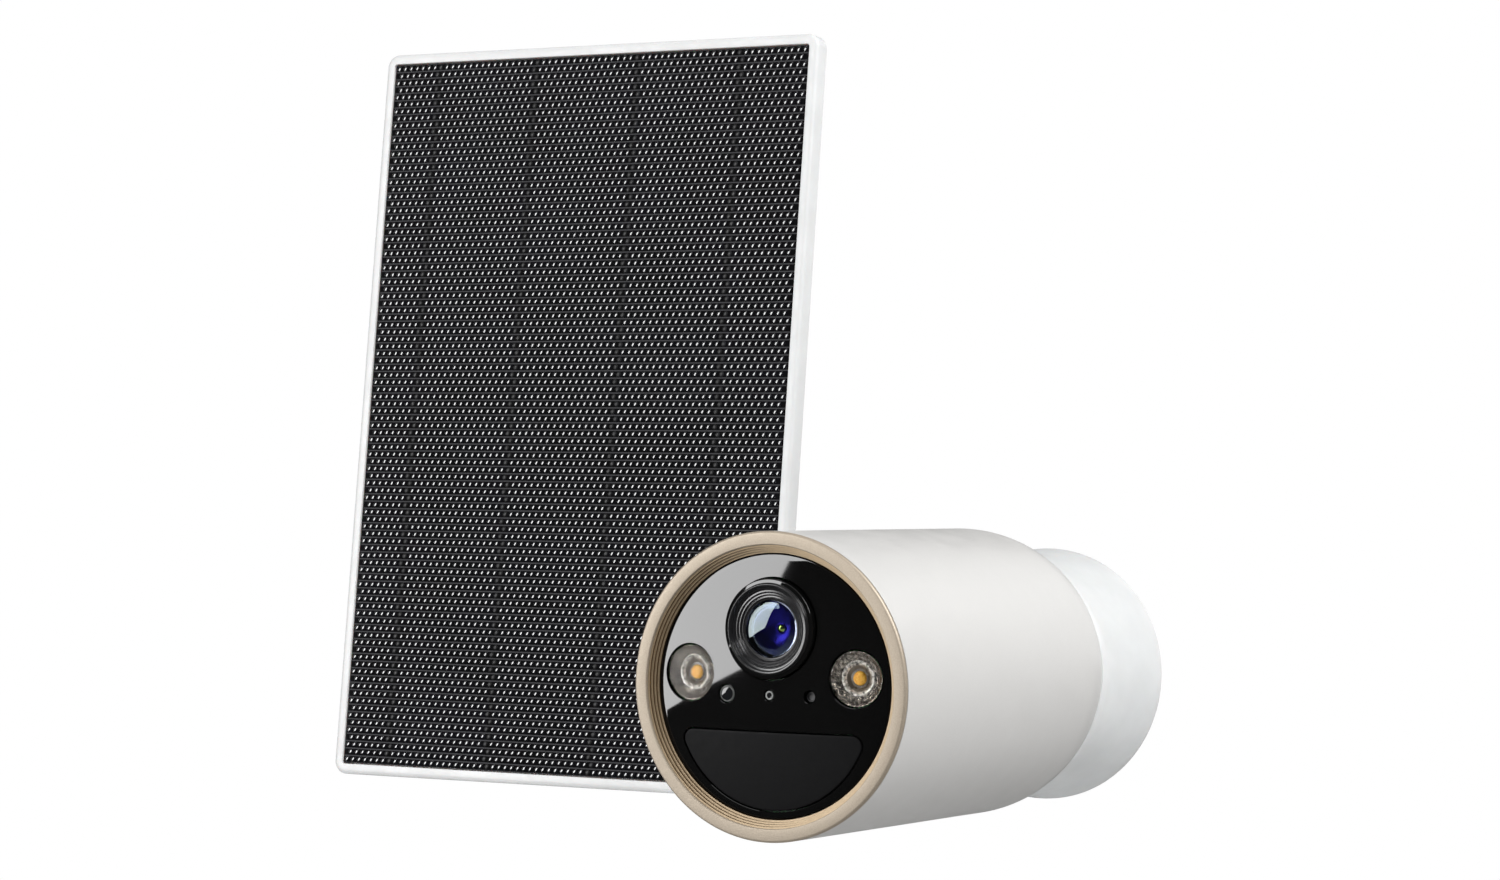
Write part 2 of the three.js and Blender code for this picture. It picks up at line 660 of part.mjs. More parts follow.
const camera = new THREE.Group();
camera.position.set(0, -DOME_TO_WALL, 0);
camera.rotation.x = NOSE_DOWN;
shell(camera);
face(camera);
inside(camera);
ports(camera);

const base = new THREE.Group();
cameraBase(base);

const bracketMount = new THREE.Group();
bracketMount.position.set(PANEL_X, 0, HINGE_Z);

const panelMount = new THREE.Group();
panelMount.position.set(PANEL_X, -HINGE_STAND_OFF, HINGE_Z);
panelMount.rotation.x = -PANEL_LEAN;
bracket(bracketMount, panelMount);
solarPanel(panelMount);

const solarCamera = new THREE.Group();
solarCamera.add(base, camera, bracketMount, panelMount);

export default solarCamera;
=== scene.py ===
"""Looks of a wire-free security camera and its solar panel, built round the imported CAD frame."""

import json
from math import atan2, cos, hypot, pi, radians, sin, sqrt, tau

import bmesh
import bpy
from mathutils import Matrix, Vector


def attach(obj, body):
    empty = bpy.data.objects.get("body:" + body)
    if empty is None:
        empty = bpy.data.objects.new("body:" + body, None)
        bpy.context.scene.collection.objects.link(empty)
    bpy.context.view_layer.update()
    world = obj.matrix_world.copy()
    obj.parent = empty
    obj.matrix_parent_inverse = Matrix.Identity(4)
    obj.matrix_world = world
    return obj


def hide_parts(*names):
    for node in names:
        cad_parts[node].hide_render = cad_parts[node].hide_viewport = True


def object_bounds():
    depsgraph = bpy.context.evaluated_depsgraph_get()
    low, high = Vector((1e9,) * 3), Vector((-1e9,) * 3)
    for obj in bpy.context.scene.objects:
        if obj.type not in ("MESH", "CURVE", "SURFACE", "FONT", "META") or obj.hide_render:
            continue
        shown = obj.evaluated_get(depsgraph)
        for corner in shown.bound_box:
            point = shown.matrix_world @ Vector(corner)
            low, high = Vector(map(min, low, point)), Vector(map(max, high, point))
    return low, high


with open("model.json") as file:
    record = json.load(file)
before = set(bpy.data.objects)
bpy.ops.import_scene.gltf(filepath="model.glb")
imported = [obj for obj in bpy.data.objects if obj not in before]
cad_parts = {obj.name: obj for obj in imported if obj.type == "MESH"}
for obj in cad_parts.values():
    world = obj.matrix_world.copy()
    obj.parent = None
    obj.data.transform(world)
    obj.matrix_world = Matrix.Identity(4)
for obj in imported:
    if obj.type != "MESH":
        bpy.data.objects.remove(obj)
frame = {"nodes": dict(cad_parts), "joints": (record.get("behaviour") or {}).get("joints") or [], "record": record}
CAD_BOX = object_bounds()
JOINTS = {joint["name"]: joint for joint in frame["joints"]}
MM = 0.001


# ---------------- local frames

def local_frame(origin, forward):
    """Frame with x across, y backward and z up, from its origin and its forward direction."""
    across = Vector((1, 0, 0))
    back = -Vector(forward).normalized()
    basis = Matrix((across, back, across.cross(back))).transposed()
    return Matrix.Translation(Vector(origin)) @ basis.to_4x4()


HINGE = JOINTS["panel_swivel"]["pos_m"]
HEAD = local_frame(JOINTS["camera_tilt"]["pos_m"], JOINTS["camera_roll"]["axis"])
PANEL = local_frame(JOINTS["panel_tilt"]["pos_m"], JOINTS["lock_ring_turn"]["axis"])
BASE = Matrix.Identity(4)
BRACKET = Matrix.Translation((HINGE[0], 0, HINGE[2]))
ARM = Matrix.Translation(Vector(HINGE))


def extent(node, place):
    """Lowest and highest corner of a CAD node in a local frame, as (across, forward, up) in mm."""
    inverse = place.inverted()
    corners = [inverse @ vertex.co for vertex in frame["nodes"][node].data.vertices]
    columns = list(zip(*((p.x / MM, -p.y / MM, p.z / MM) for p in corners)))
    return [min(column) for column in columns], [max(column) for column in columns]


# ---------------- mesh helpers

AXES = {  # (across, forward, up) of a point on an outline, for each axis that its level is along
    "forward": lambda a, b, level: (a, level, b),
    "up": lambda a, b, level: (a, b, level),
    "across": lambda a, b, level: (level, a, b),
}
CREASE = 32


def add_object(name, data):
    made = bpy.data.objects.new(name, data)
    bpy.context.scene.collection.objects.link(made)
    return made


def add_mesh(name, points, faces):
    mesh = bpy.data.meshes.new(name)
    mesh.from_pydata(points, [], faces)
    return add_object(name, mesh)


def new_piece(name, points, faces, place):
    """Mesh from (across, forward, up) points in mm, with its faces turned outward."""
    piece = add_mesh(name, [(x * MM, -forward * MM, z * MM) for x, forward, z in points], faces)
    piece.matrix_world = place
    build = bmesh.new()
    build.from_mesh(piece.data)
    bmesh.ops.recalc_face_normals(build, faces=build.faces)
    build.to_mesh(piece.data)
    build.free()
    return piece


def band(lower, upper):
    """Faces between two rows of vertices; a row of one vertex is a pole."""
    if len(lower) == 1 and len(upper) == 1:
        return []
    count = max(len(lower), len(upper))
    faces = []
    for i in range(count):
        j = (i + 1) % count
        corners = [lower[i % len(lower)], lower[j % len(lower)]]
        corners += [upper[j % len(upper)], upper[i % len(upper)]]
        faces.append(tuple(dict.fromkeys(corners)))
    return faces


def lathe(name, profile, place, segments=96, at=(0, 0, 0), axis="forward"):
    """Turned piece from (radius, level) points in mm; one that leaves the axis open is a ring."""
    points = []
    rows = []
    for radius, level in profile:
        count = 1 if radius < 1e-6 else segments
        rows.append(list(range(len(points), len(points) + count)))
        for i in range(count):
            angle = tau * i / segments
            spot = AXES[axis](radius * cos(angle), radius * sin(angle), level)
            points.append(tuple(a + b for a, b in zip(spot, at)))
    pairs = list(zip(rows, rows[1:]))
    if len(rows[0]) > 1 or len(rows[-1]) > 1:
        pairs.append((rows[-1], rows[0]))
    faces = [face for lower, upper in pairs for face in band(lower, upper)]
    return new_piece(name, points, faces, place)


def skinned(name, loops, place):
    """Closed piece through loops that have the same number of points, capped at both ends."""
    count = len(loops[0])
    points = [point for loop in loops for point in loop]
    rows = [list(range(i * count, (i + 1) * count)) for i in range(len(loops))]
    faces = [face for pair in zip(rows, rows[1:]) for face in band(*pair)]
    faces += [tuple(rows[0]), tuple(rows[-1])]
    return new_piece(name, points, faces, place)


def stacked(name, sections, place, at=(0, 0, 0), axis="forward"):
    """Closed piece through flat outlines, from (outline, level) pairs in mm."""
    loops = []
    for outline, level in sections:
        spots = [AXES[axis](a, b, level) for a, b in outline]
        loops.append([tuple(p + q for p, q in zip(spot, at)) for spot in spots])
    return skinned(name, loops, place)


def soften(profile, radius, steps=4):
    """Rounds the corners of a profile; a point's third value is its own radius."""
    made = []
    last = len(profile) - 1
    for i, point in enumerate(profile):
        corner = Vector(point[:2])
        own = point[2] if len(point) > 2 else radius
        ends = i in (0, last) and profile[i][0] < 1e-6
        if ends or own <= 0:
            made.append(tuple(corner))
            continue
        before = Vector(profile[i - 1][:2]) - corner
        after = Vector(profile[(i + 1) % len(profile)][:2]) - corner
        cut = min(own, 0.45 * before.length, 0.45 * after.length)
        start = corner + before.normalized() * cut
        end = corner + after.normalized() * cut
        for k in range(steps + 1):
            t = k / steps
            made.append(tuple(start * (1 - t) ** 2 + corner * 2 * t * (1 - t) + end * t * t))
    return made


def arc(radius, centre, start, end, steps):
    """Profile points of an arc about a centre on the axis, with angles in degrees from the rear."""
    angles = [radians(start + (end - start) * i / steps) for i in range(steps + 1)]
    return [(radius * sin(angle), centre - radius * cos(angle), 0) for angle in angles]


def rectangle(width, height, corner, steps=10):
    """Outline of a rounded rectangle in mm."""
    made = []
    for quarter, (side, rise) in enumerate(((1, -1), (1, 1), (-1, 1), (-1, -1))):
        across = side * (width / 2 - corner)
        up = rise * (height / 2 - corner)
        for i in range(steps + 1):
            angle = pi / 2 * (quarter - 1 + i / steps)
            made.append((across + corner * cos(angle), up + corner * sin(angle)))
    return made


def rounding(steps):
    """How far in and how far along an edge each step of its rounding is, as shares of its size."""
    angles = [pi / 2 * i / steps for i in range(steps + 1)]
    return [(1 - sin(angle), 1 - cos(angle)) for angle in angles]


def polar(radii, x=0.0, z=0.0):
    """Outline about a centre, from the radius at each of its evenly spaced points."""
    turns = [tau * i / len(radii) for i in range(len(radii))]
    return [(x + r * cos(turn), z + r * sin(turn)) for r, turn in zip(radii, turns)]


def circle(radius, x=0.0, z=0.0, count=96):
    return polar([radius] * count, x, z)


def soft_prism(name, outline_at, start, end, edge, place, steps=5, axis="forward"):
    """Prism with rounded edges; its outline is a function of how far it is drawn in."""
    near = [(outline_at(edge * inward), edge * along) for inward, along in rounding(steps)]
    sections = [(outline, start + along) for outline, along in near]
    sections += [(outline, end - along) for outline, along in reversed(near)]
    return stacked(name, sections, place, axis=axis)


def bar(radius, start, end, place, at=(0, 0, 0), axis="forward", segments=48):
    """Plain round cutter."""
    profile = [(0, start), (radius, start), (radius, end), (0, end)]
    return lathe("cutter", profile, place, segments, at, axis)


def prism(outline, start, end, place, at=(0, 0, 0), axis="forward"):
    """Straight cutter of that outline."""
    return stacked("cutter", [(outline, start), (outline, end)], place, at, axis)


def screw_hole(front, depth, rim, place, at):
    """Cutters for a wall screw in a plate: its hole and the dish for its head."""
    back = front - depth
    dish = [(0, back), (SCREW_HOLE, back), (rim, front), (0, front)]
    return [bar(SCREW_HOLE, -1, front + 2, place, at), lathe("cutter", dish, place, 64, at)]


def combine(piece, others, operation="DIFFERENCE"):
    """Boolean of a piece with each of the others, which are used up."""
    for other in others:
        modifier = piece.modifiers.new("combine", "BOOLEAN")
        modifier.object = other
        modifier.operation = operation
        modifier.solver = "MANIFOLD"
        graph = bpy.context.evaluated_depsgraph_get()
        graph.update()
        finished = bpy.data.meshes.new_from_object(piece.evaluated_get(graph))
        piece.modifiers.clear()
        piece.data = finished
        bpy.data.objects.remove(other)


def dress(piece, body, nodes, slot, material=None, crease=CREASE):
    """Shades a piece, gives it its finish, ties it to the CAD body and hides the CAD nodes it stands for."""
    mesh = piece.data
    mesh.polygons.foreach_set("use_smooth", [True] * len(mesh.polygons))
    mesh.set_sharp_from_angle(angle=radians(crease))
    mesh.materials.clear()
    mesh.materials.append(material or MATERIALS[slot])
    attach(piece, body)
    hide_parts(*nodes)


# ---------------- materials

def linear(*display):
    """Linear colour of display values from 0 to 255."""
    shares = [value / 255 for value in display]
    made = [s / 12.92 if s <= 0.04045 else ((s + 0.055) / 1.055) ** 2.4 for s in shares]
    return (*made, 1)


class Look:
    """A Principled material whose colour, roughness and relief come from procedural textures."""

    def __init__(self, name, color, roughness, metallic=0.0, **inputs):
        self.material = bpy.data.materials.new(name)
        self.material.use_nodes = True
        self.nodes = self.material.node_tree.nodes
        self.links = self.material.node_tree.links
        self.shader = self.nodes["Principled BSDF"]
        self.color = color
        inputs.update(Base_Color=color, Roughness=roughness, Metallic=metallic)
        for key, value in inputs.items():
            self.set(key.replace("_", " "), value)
        self.place = self.nodes.new("ShaderNodeTexCoord").outputs["Object"]
        self.normal = None

    def set(self, key, value):
        self.shader.inputs[key].default_value = value

    def feed(self, socket, value):
        """Links a socket to another one, or gives it a value."""
        if isinstance(value, bpy.types.NodeSocket):
            self.links.new(value, socket)
        else:
            socket.default_value = value

    def node(self, kind, **inputs):
        node = self.nodes.new("ShaderNode" + kind)
        for key, value in inputs.items():
            self.feed(node.inputs[key.replace("_", " ")], value)
        return node

    def noise(self, size, detail=3.0, stretch=None):
        """Noise with features of about that size in mm, drawn out where a stretch is below 1."""
        place = self.place
        if stretch:
            place = self.node("Mapping", Vector=place, Scale=stretch).outputs["Vector"]
        node = self.node("TexNoise", Scale=1 / (size * MM), Detail=detail, Vector=place)
        return node.outputs["Fac"]

    def cells(self, size, feature="F1"):
        """Cells of about that size in mm."""
        node = self.node("TexVoronoi", Scale=1 / (size * MM), Vector=self.place)
        node.feature = feature
        return node.outputs["Distance"]

    def remap(self, value, low, high, start=0.35, end=0.65):
        """Low to high while the value goes from start to end."""
        ends = {"From Min": start, "From Max": end, "To Min": low, "To Max": high}
        return self.node("MapRange", Value=value, **ends).outputs["Result"]

    def math(self, operation, *values):
        node = self.node("Math")
        node.operation = operation
        for socket, value in zip(node.inputs, values):
            self.feed(socket, value)
        return node.outputs[0]

    def axis(self, letter):
        """One object coordinate, in mm."""
        node = self.node("SeparateXYZ", Vector=self.place)
        return self.math("DIVIDE", node.outputs[letter], MM)

    def tint(self, factor, first, second):
        """Base colour between two colours."""
        node = self.node("Mix")
        node.data_type = "RGBA"
        self.feed(node.inputs["Factor"], factor)
        self.feed(node.inputs[6], first)
        self.feed(node.inputs[7], second)
        self.feed(self.shader.inputs["Base Color"], node.outputs[2])
        return node.outputs[2]

    def mottle(self, size, amount, detail=3.0):
        """Colour varies by that share either way."""
        darker = tuple(c * (1 - amount) for c in self.color[:3]) + (1,)
        lighter = tuple(min(1, c * (1 + amount)) for c in self.color[:3]) + (1,)
        self.tint(self.remap(self.noise(size, detail), 0, 1), darker, lighter)

    def polish(self, size, low, high):
        """Roughness varies between two values."""
        value = self.remap(self.noise(size, 4.0), low, high)
        self.feed(self.shader.inputs["Roughness"], value)

    def relief(self, height, depth):
        """Bump of that depth in mm; several add up."""
        node = self.node("Bump", Distance=depth * MM, Height=height)
        if self.normal:
            self.feed(node.inputs["Normal"], self.normal)
        self.normal = node.outputs["Normal"]
        self.feed(self.shader.inputs["Normal"], self.normal)


# Size and amount of the mottling; size of the polish marks, and how far below and above a finish's
# own roughness they go; and the relief's noise and depth.
TEXTURES = {
    "cast_metal": ((0.25, 0.07, 1.0), (0.5, 0, 0.08), (0.2, 1.0), 0.016),
    "lacquer": ((0.12, 0.03), (6.0, 0.04, 0.04), (0.2, 2.0), 0.003),
    "moulding": ((9.0, 0.025), (3.0, 0.05, 0.06), (0.35, 2.0), 0.006),
    "fine_moulding": ((9.0, 0.025), (3.0, 0.05, 0.06), (0.25, 2.0), 0.003),
    "gloss": ((30.0, 0.1), (14.0, 0.015, 0.02), None, 0),
    "rubber": ((5.0, 0.05), (2.0, 0.1, 0.05), (0.3, 3.0), 0.015),
    "coating": ((3.0, 0.15), (2.0, 0.04, 0.06), None, 0),
    "turned_trim": ((0.8, 0.06), (2.5, 0.015, 0.015), None, 0),
    "smooth": ((0.8, 0.06), (2.5, 0.03, 0.03), None, 0),
    "satin": ((0.8, 0.06), (2.5, 0.05, 0.05), None, 0),
    "turned": ((4.0, 0.06), (1.2, 0.07, 0.12), (0.3, 3.0, (1, 1, 0.15)), 0.004),
    "plated": ((4.0, 0.06), (1.2, 0.07, 0.12), (0.3, 3.0, (1, 1, 0.15)), 0.003),
    "wrap": ((12.0, 0.08), (3.0, 0.05, 0.1), (2.0, 2.0), 0.02),
}


def textured(name, texture, color, roughness, metallic=0.0, **inputs):
    """Finish with one of the textures above."""
    mottle, (size, below, above), noise, depth = TEXTURES[texture]
    look = Look(name, linear(*color), roughness, metallic, **inputs)
    look.mottle(*mottle)
    look.polish(size, roughness - below, roughness + above)
    if noise:
        look.relief(look.noise(*noise), depth)
    return look.material


def lens_look():
    """Front element: clear glass with a cool coating."""
    look = Look("coated_lens", linear(196, 206, 232), 0.0, IOR=1.52, Transmission_Weight=1.0)
    look.set("Specular Tint", (0.82, 0.97, 1.0, 1))
    look.polish(6.0, 0.0, 0.02)
    return look.material


def clear_look():
    look = Look("clear_lens", (0.98, 0.98, 0.98, 1), 0.02, IOR=1.12, Transmission_Weight=1.0)
    look.polish(4.0, 0.0, 0.03)
    return look.material


def reflector_look(name, color, metallic):
    look = Look(name, color, 0.26, metallic)
    look.mottle(0.7, 0.75)
    look.relief(look.cells(0.6), 0.16)
    look.relief(look.noise(0.45, 3.0), 0.1)
    return look.material


def phosphor_look():
    look = Look("phosphor", linear(240, 178, 52), 0.55)
    look.tint(look.remap(look.noise(0.5), 0, 1), linear(226, 150, 36), linear(246, 196, 80))
    look.relief(look.noise(0.1), 0.01)
    return look.material


def board_look():
    """Green solder mask over copper tracks."""
    look = Look("circuit_board", linear(20, 88, 48), 0.35)
    tracks = look.remap(look.cells(1.6, "DISTANCE_TO_EDGE"), 0, 1, 0.08, 0.14)
    look.tint(tracks, linear(60, 140, 76), linear(14, 74, 38))
    look.relief(tracks, 0.04)
    return look.material


def silicon_look():
    """Solar cells: blue black, with thin silver fingers."""
    look = Look("cell_silicon", linear(12, 16, 34), 0.2)
    fingers = look.math("PINGPONG", look.axis("X"), 0.8)
    look.tint(look.remap(fingers, 0, 1, 0.02, 0.1), linear(150, 154, 160), linear(12, 16, 34))
    look.polish(5.0, 0.15, 0.3)
    return look.material


CELL_PITCH = 30.5  # between the printed lines that part the cell strips, mm
CELL_FIRST = 14.0  # from the cover's left edge to the first line, mm
ROW_PITCH = 25.0  # between the fainter lines across, mm
LAMINATE_LOW, LAMINATE_HIGH = extent("panel_laminate", PANEL)
LAMINATE_WIDTH = LAMINATE_HIGH[0] - LAMINATE_LOW[0]
LAMINATE_HEIGHT = LAMINATE_HIGH[2] - LAMINATE_LOW[2]
BUMP_ROWS = int(LAMINATE_HEIGHT / 1.9)
BUMP_RISE = LAMINATE_HEIGHT / BUMP_ROWS


def laminate_look(name, low, high, roughness, index):
    """Black cover of the panel, with the gaps between the cell strips showing through."""
    look = Look(name, low, roughness, IOR=index)
    across = look.math("ADD", look.axis("X"), LAMINATE_WIDTH / 2 - CELL_FIRST)
    column = look.remap(look.math("PINGPONG", across, CELL_PITCH / 2), 0, 1, 0.5, 1.1)
    row = look.remap(look.math("PINGPONG", look.axis("Z"), ROW_PITCH / 2), 0.4, 1, 0.3, 0.7)
    tone = look.tint(look.remap(look.noise(24.0), 0, 1), low, high)
    look.tint(look.math("MINIMUM", column, row), linear(3, 3, 4), tone)
    look.polish(40.0, roughness - 0.02, roughness + 0.07)
    look.relief(look.noise(0.3, 2.0), 0.003)
    return look


def dome_look(name, roughness, index):
    return laminate_look(name, linear(7, 7, 9), linear(11, 12, 17), roughness, index).material


def gap_look():
    """Matt black between the domes, with the fine pale line between two rows painted in as a highlight."""
    look = laminate_look("laminate_gaps_painted_sheen", linear(2, 2, 3), linear(5, 5, 8), 0.6, 1.12)
    flat = look.shader.inputs["Base Color"].links[0].from_socket
    height = look.math("SUBTRACT", look.axis("Z"), LAMINATE_LOW[2])
    between = look.math("PINGPONG", height, BUMP_RISE / 2)
    # The pale line between two rows is a painted highlight.
    look.tint(look.remap(between, 0, 1, 0.12, 0.2), linear(60, 60, 62), flat)
    return look.material


MATERIALS = {
    "ring_metal": textured("champagne_metal", "cast_metal", (164, 152, 136), 0.42, 0.4),
    "pearl_shell": textured(
        "pearl_lacquer", "lacquer", (206, 205, 203), 0.42, 0.25,
        Coat_Weight=0.15, Coat_Roughness=0.25,
    ),
    "white_shell": textured(
        "white_plastic", "moulding", (198, 198, 198), 0.42, Subsurface_Weight=0.04
    ),
    "gloss_window": textured("gloss_black", "gloss", (10, 10, 10), 0.03, IOR=1.5),
    "black_trim": textured("black_plastic", "fine_moulding", (34, 34, 35), 0.4),
    "grey_rubber": textured("grey_rubber", "rubber", (196, 194, 190), 0.8, Sheen_Weight=0.08),
    "black_rubber": textured("black_rubber", "rubber", (28, 28, 30), 0.8, Sheen_Weight=0.08),
    "coated_glass": lens_look(),
    "clear_lens": clear_look(),
    "reflector": reflector_look("reflector", linear(116, 111, 104), 0.85),
    "phosphor": phosphor_look(),
    "steel": textured("steel", "turned", (176, 178, 180), 0.28, 1.0),
    "nickel": textured("nickel", "plated", (206, 204, 198), 0.2, 1.0),
    "brass": textured("brass", "turned", (200, 164, 92), 0.3, 1.0),
    "circuit_board": board_look(),
    "cell_silicon": silicon_look(),
    "laminate": dome_look("laminate", 0.1, 1.9),
    "cell_sleeve": textured("cell_sleeve", "wrap", (52, 104, 176), 0.3, Coat_Weight=0.3),
}
# The darker bronze on the ring's risers is painted shade; the treads keep the lighter bronze.
SHADED_RISER_METAL = textured("bronze_risers_painted_shade", "cast_metal", (96, 76, 52), 0.42, 0.5)
TREAD_METAL = textured("bronze_treads", "cast_metal", (166, 146, 118), 0.42, 0.4)
LENS_TRIM = textured("lens_trim", "turned_trim", (26, 26, 27), 0.2, IOR=1.52)
INNER_VIOLET = textured("violet_coating", "coating", (40, 32, 104), 0.32, 1.0)
# Bright green mirror coating for the middle of the rear element: a painted glint, which the lamps light as well.
GLINT_GREEN = textured("green_painted_glint", "coating", (190, 206, 90), 0.18, 1.0)
SENSOR_DOME = textured("sensor_dome", "smooth", (22, 23, 25), 0.05, IOR=1.52)
MILKY_TIP = textured("milky_tip", "smooth", (128, 130, 128), 0.22, IOR=1.52)
PIR_BLACK = textured("pir_black", "satin", (18, 18, 19), 0.48, IOR=1.52, Specular_IOR_Level=0.08)
# Pale, hardly metallic copy of the reflector for the bowl's lip: a painted highlight.
BOWL_LIP_HIGHLIGHT = reflector_look("bowl_lip_painted_highlight", linear(188, 184, 176), 0.2)
BOWL_CENTRE = textured("bowl_centre", "smooth", (96, 88, 78), 0.3, IOR=1.52)
GAP_BLACK_WITH_SHEEN = gap_look()
DIM_BLACK = dome_look("laminate_dim", 0.4, 1.4)
SLOT_OF_NODE = {part["node"]: part["material_slot"] for part in frame["record"]["subparts"]}


WELD_GAP = 0.002  # softening of the CAD nodes' edges, mm and degrees
EDGE_WIDTH = 0.12
EDGE_ANGLE = 50


def dress_cad_nodes():
    """Finish of every CAD node, and softened edges on the ones that stay in view."""
    for node, cad in frame["nodes"].items():
        cad.data.materials.clear()
        cad.data.materials.append(MATERIALS[SLOT_OF_NODE[node]])
        if cad.hide_render:
            continue
        weld = cad.modifiers.new("weld", "WELD")
        weld.merge_threshold = WELD_GAP * MM
        edges = cad.modifiers.new("edges", "BEVEL")
        edges.width = EDGE_WIDTH * MM
        edges.segments = 2
        edges.limit_method = "ANGLE"
        edges.angle_limit = radians(EDGE_ANGLE)


# ---------------- camera head: shell

# A profile lists each corner's radius, its level along the axis and its rounding, in mm. Levels are
# measured from the dome's centre on the head, from the wall on the base and the bracket's plate and
# fork, and from the hinge on the bolt, the knob and the panel.
RING_LOW, RING_HIGH = extent("front_ring", HEAD)
RADIUS = RING_HIGH[0]
RING_FRONT = RING_HIGH[1]
RING_BACK = RING_LOW[1]
RING_SEAM = 91.3  # where the ring's outer lip meets the casing
RING_SLEEVE = 31.2
RING_FLAT = RADIUS - 3.0
RING_BORE = RADIUS - 4.8
RING_STEPS = 4
RING_DEPTH = 2.6
LEVEL_ENOUGH = 0.7  # faces whose normals are nearer to the axis than this are treads, not risers; the risers get a darker bronze as painted shade
CASING_FRONT = extent("casing", HEAD)[1][1]
CASING_INNER = RADIUS - 2.2
ROUND = 256  # segments of the largest round pieces
PORT_LENGTH = 28.0
PORT_WIDTH = 17.0
PORT_MIDDLE = 22.0
SPEAKER = 60  # level of the speaker slots' middle
UNDERSIDE = (-40, -28)  # heights between which the casing's underside is cut


def by_radius(piece, limit, material, at=(0, 0, 0)):
    """Gives the faces beyond a radius about the forward axis at that place another finish."""
    piece.data.materials.append(material)
    for face in piece.data.polygons:
        middle = face.center / MM
        if hypot(middle.x - at[0], middle.z - at[2]) > limit:
            face.material_index = len(piece.data.materials) - 1


def front_ring():
    """Ring with four fine steps down to the window: pale outside, bronze on the steps, the risers painted darker
    as shade.
    """
    tread = (RING_FLAT - RING_BORE) / RING_STEPS
    rise = RING_DEPTH / RING_STEPS
    profile = [(RADIUS, RING_SEAM, 0.06), (RADIUS, 91.9, 0.2), (RADIUS - 0.4, RING_FRONT, 0.15)]
    profile += [(RING_FLAT + 0.16, RING_FRONT, 0.04), (RING_FLAT, RING_FRONT - 0.14, 0.04)]
    for i in range(RING_STEPS):
        level = RING_FRONT - rise * (i + 1)
        profile.append((RING_FLAT - tread * i, level, 0.06))
        profile.append((RING_FLAT - tread * (i + 1), level, 0.09))
    profile += [(RING_BORE, RING_BACK), (RING_SLEEVE, RING_BACK), (RING_SLEEVE, RING_SEAM, 0.05)]
    piece = lathe("front_ring_body", soften(profile, 0.05, 3), HEAD, ROUND)
    dress(piece, "camera", ["front_ring"], "ring_metal", SHADED_RISER_METAL)
    piece.data.materials.append(TREAD_METAL)
    for face in piece.data.polygons:
        if abs(face.normal.y) > LEVEL_ENOUGH:
            face.material_index = 1
    by_radius(piece, RING_FLAT - 0.02, MATERIALS["ring_metal"])


def port_opening(shrink, start, end):
    outline = rectangle(PORT_WIDTH - 2 * shrink, PORT_LENGTH - 2 * shrink, 3 - shrink, 8)
    return prism(outline, start, end, HEAD, (0, PORT_MIDDLE, 0), "up")


def casing():
    """Barrel and rear dome, with the charging port and the speaker slots underneath."""
    profile = [(RADIUS, CASING_FRONT, 0.15)] + arc(RADIUS, 0, 90, 0, 48)
    profile += arc(CASING_INNER, 0, 0, 90, 32) + [(CASING_INNER, CASING_FRONT, 0.1)]
    piece = lathe("casing_body", soften(profile, 0, 3), HEAD, ROUND)
    slot = rectangle(1.4, 12, 0.69, 8)
    slots = [prism(slot, *UNDERSIDE, HEAD, (x, SPEAKER, 0), "up") for x in (-6, -3, 0, 3, 6)]
    combine(piece, [port_opening(0, *UNDERSIDE), *slots])
    dress(piece, "camera", ["casing"], "pearl_shell")


def port_cover():
    """Rubber flap: a skin flush with the casing, a raised plug behind it and a ribbed pull tab."""
    gap = 0.3
    width = PORT_WIDTH - 2 * gap
    length = PORT_LENGTH - 2 * gap
    inner = RADIUS - 1.8
    start = PORT_MIDDLE - PORT_LENGTH / 2 - 2
    end = PORT_MIDDLE + PORT_LENGTH / 2 + 2
    skin = [(inner, start), (RADIUS, start), (RADIUS, end), (inner, end)]
    piece = lathe("port_cover_skin", skin, HEAD, 288)
    combine(piece, [port_opening(gap, UNDERSIDE[0], -26)], "INTERSECT")
    plug = rectangle(width - 3, length - 5, 1.8)
    hollow = rectangle(width - 5, length - 7, 1.2)
    at = (0, PORT_MIDDLE, 0)
    combine(piece, [prism(plug, -32.6, -31.2, HEAD, at, "up")], "UNION")
    grooves = [
        bar(0.35, -4.2, 4.2, HEAD, (0, forward, -RADIUS - 0.02), "across", 16)
        for forward in (10.4, 11.9, 13.4)
    ]
    combine(piece, [prism(hollow, -31.9, -30, HEAD, at, "up"), *grooves])
    dress(piece, "port_flap", ["port_cover"], "grey_rubber")


# ---------------- camera head: front face

WINDOW_LOW, WINDOW_HIGH = extent("front_window", HEAD)
WINDOW_RADIUS = WINDOW_HIGH[0]
WINDOW_BACK = WINDOW_LOW[1]
WINDOW_CURVE = 200.0  # radius of the window's domed surface
WINDOW_MIDDLE = 91.75  # its level on the axis
CUT_BACK = 85  # levels behind and in front of the window, between which it is cut
CUT_FRONT = 95
LENS_Z = 12.6
LENS_HOLE = 11.3
LENS_GLASS = 6.1
LENS_FRONT = 92.0
LENS_CURVE = 26.0
LENS_REAR = 5.6
SPOT_X = 20.75
SPOT_Z = 2.4
SPOT_RADIUS = 6.1
DOT_Z = -1.9
DOT_BACK = 87.4
DOTS = {"sensor": (-10.9, 2.1), "status": (0.0, 1.3), "microphone": (9.9, 1.4)}
RIM = 0.13  # small chamfer round the window's openings
PIR_TOP = -9.7
PIR_RADIUS = 24.6
PIR_CENTRE = -2.9
PIR_CORNER = 2.5


def crown(x, z):
    """Forward distance of the window's gently domed surface."""
    return WINDOW_MIDDLE - (x * x + z * z) / (2 * WINDOW_CURVE)


def domed(outline, drop):
    return [(x, crown(x, z) - drop, z) for x, z in outline]


def level_loop(outline, level):
    return [(x, level, z) for x, z in outline]


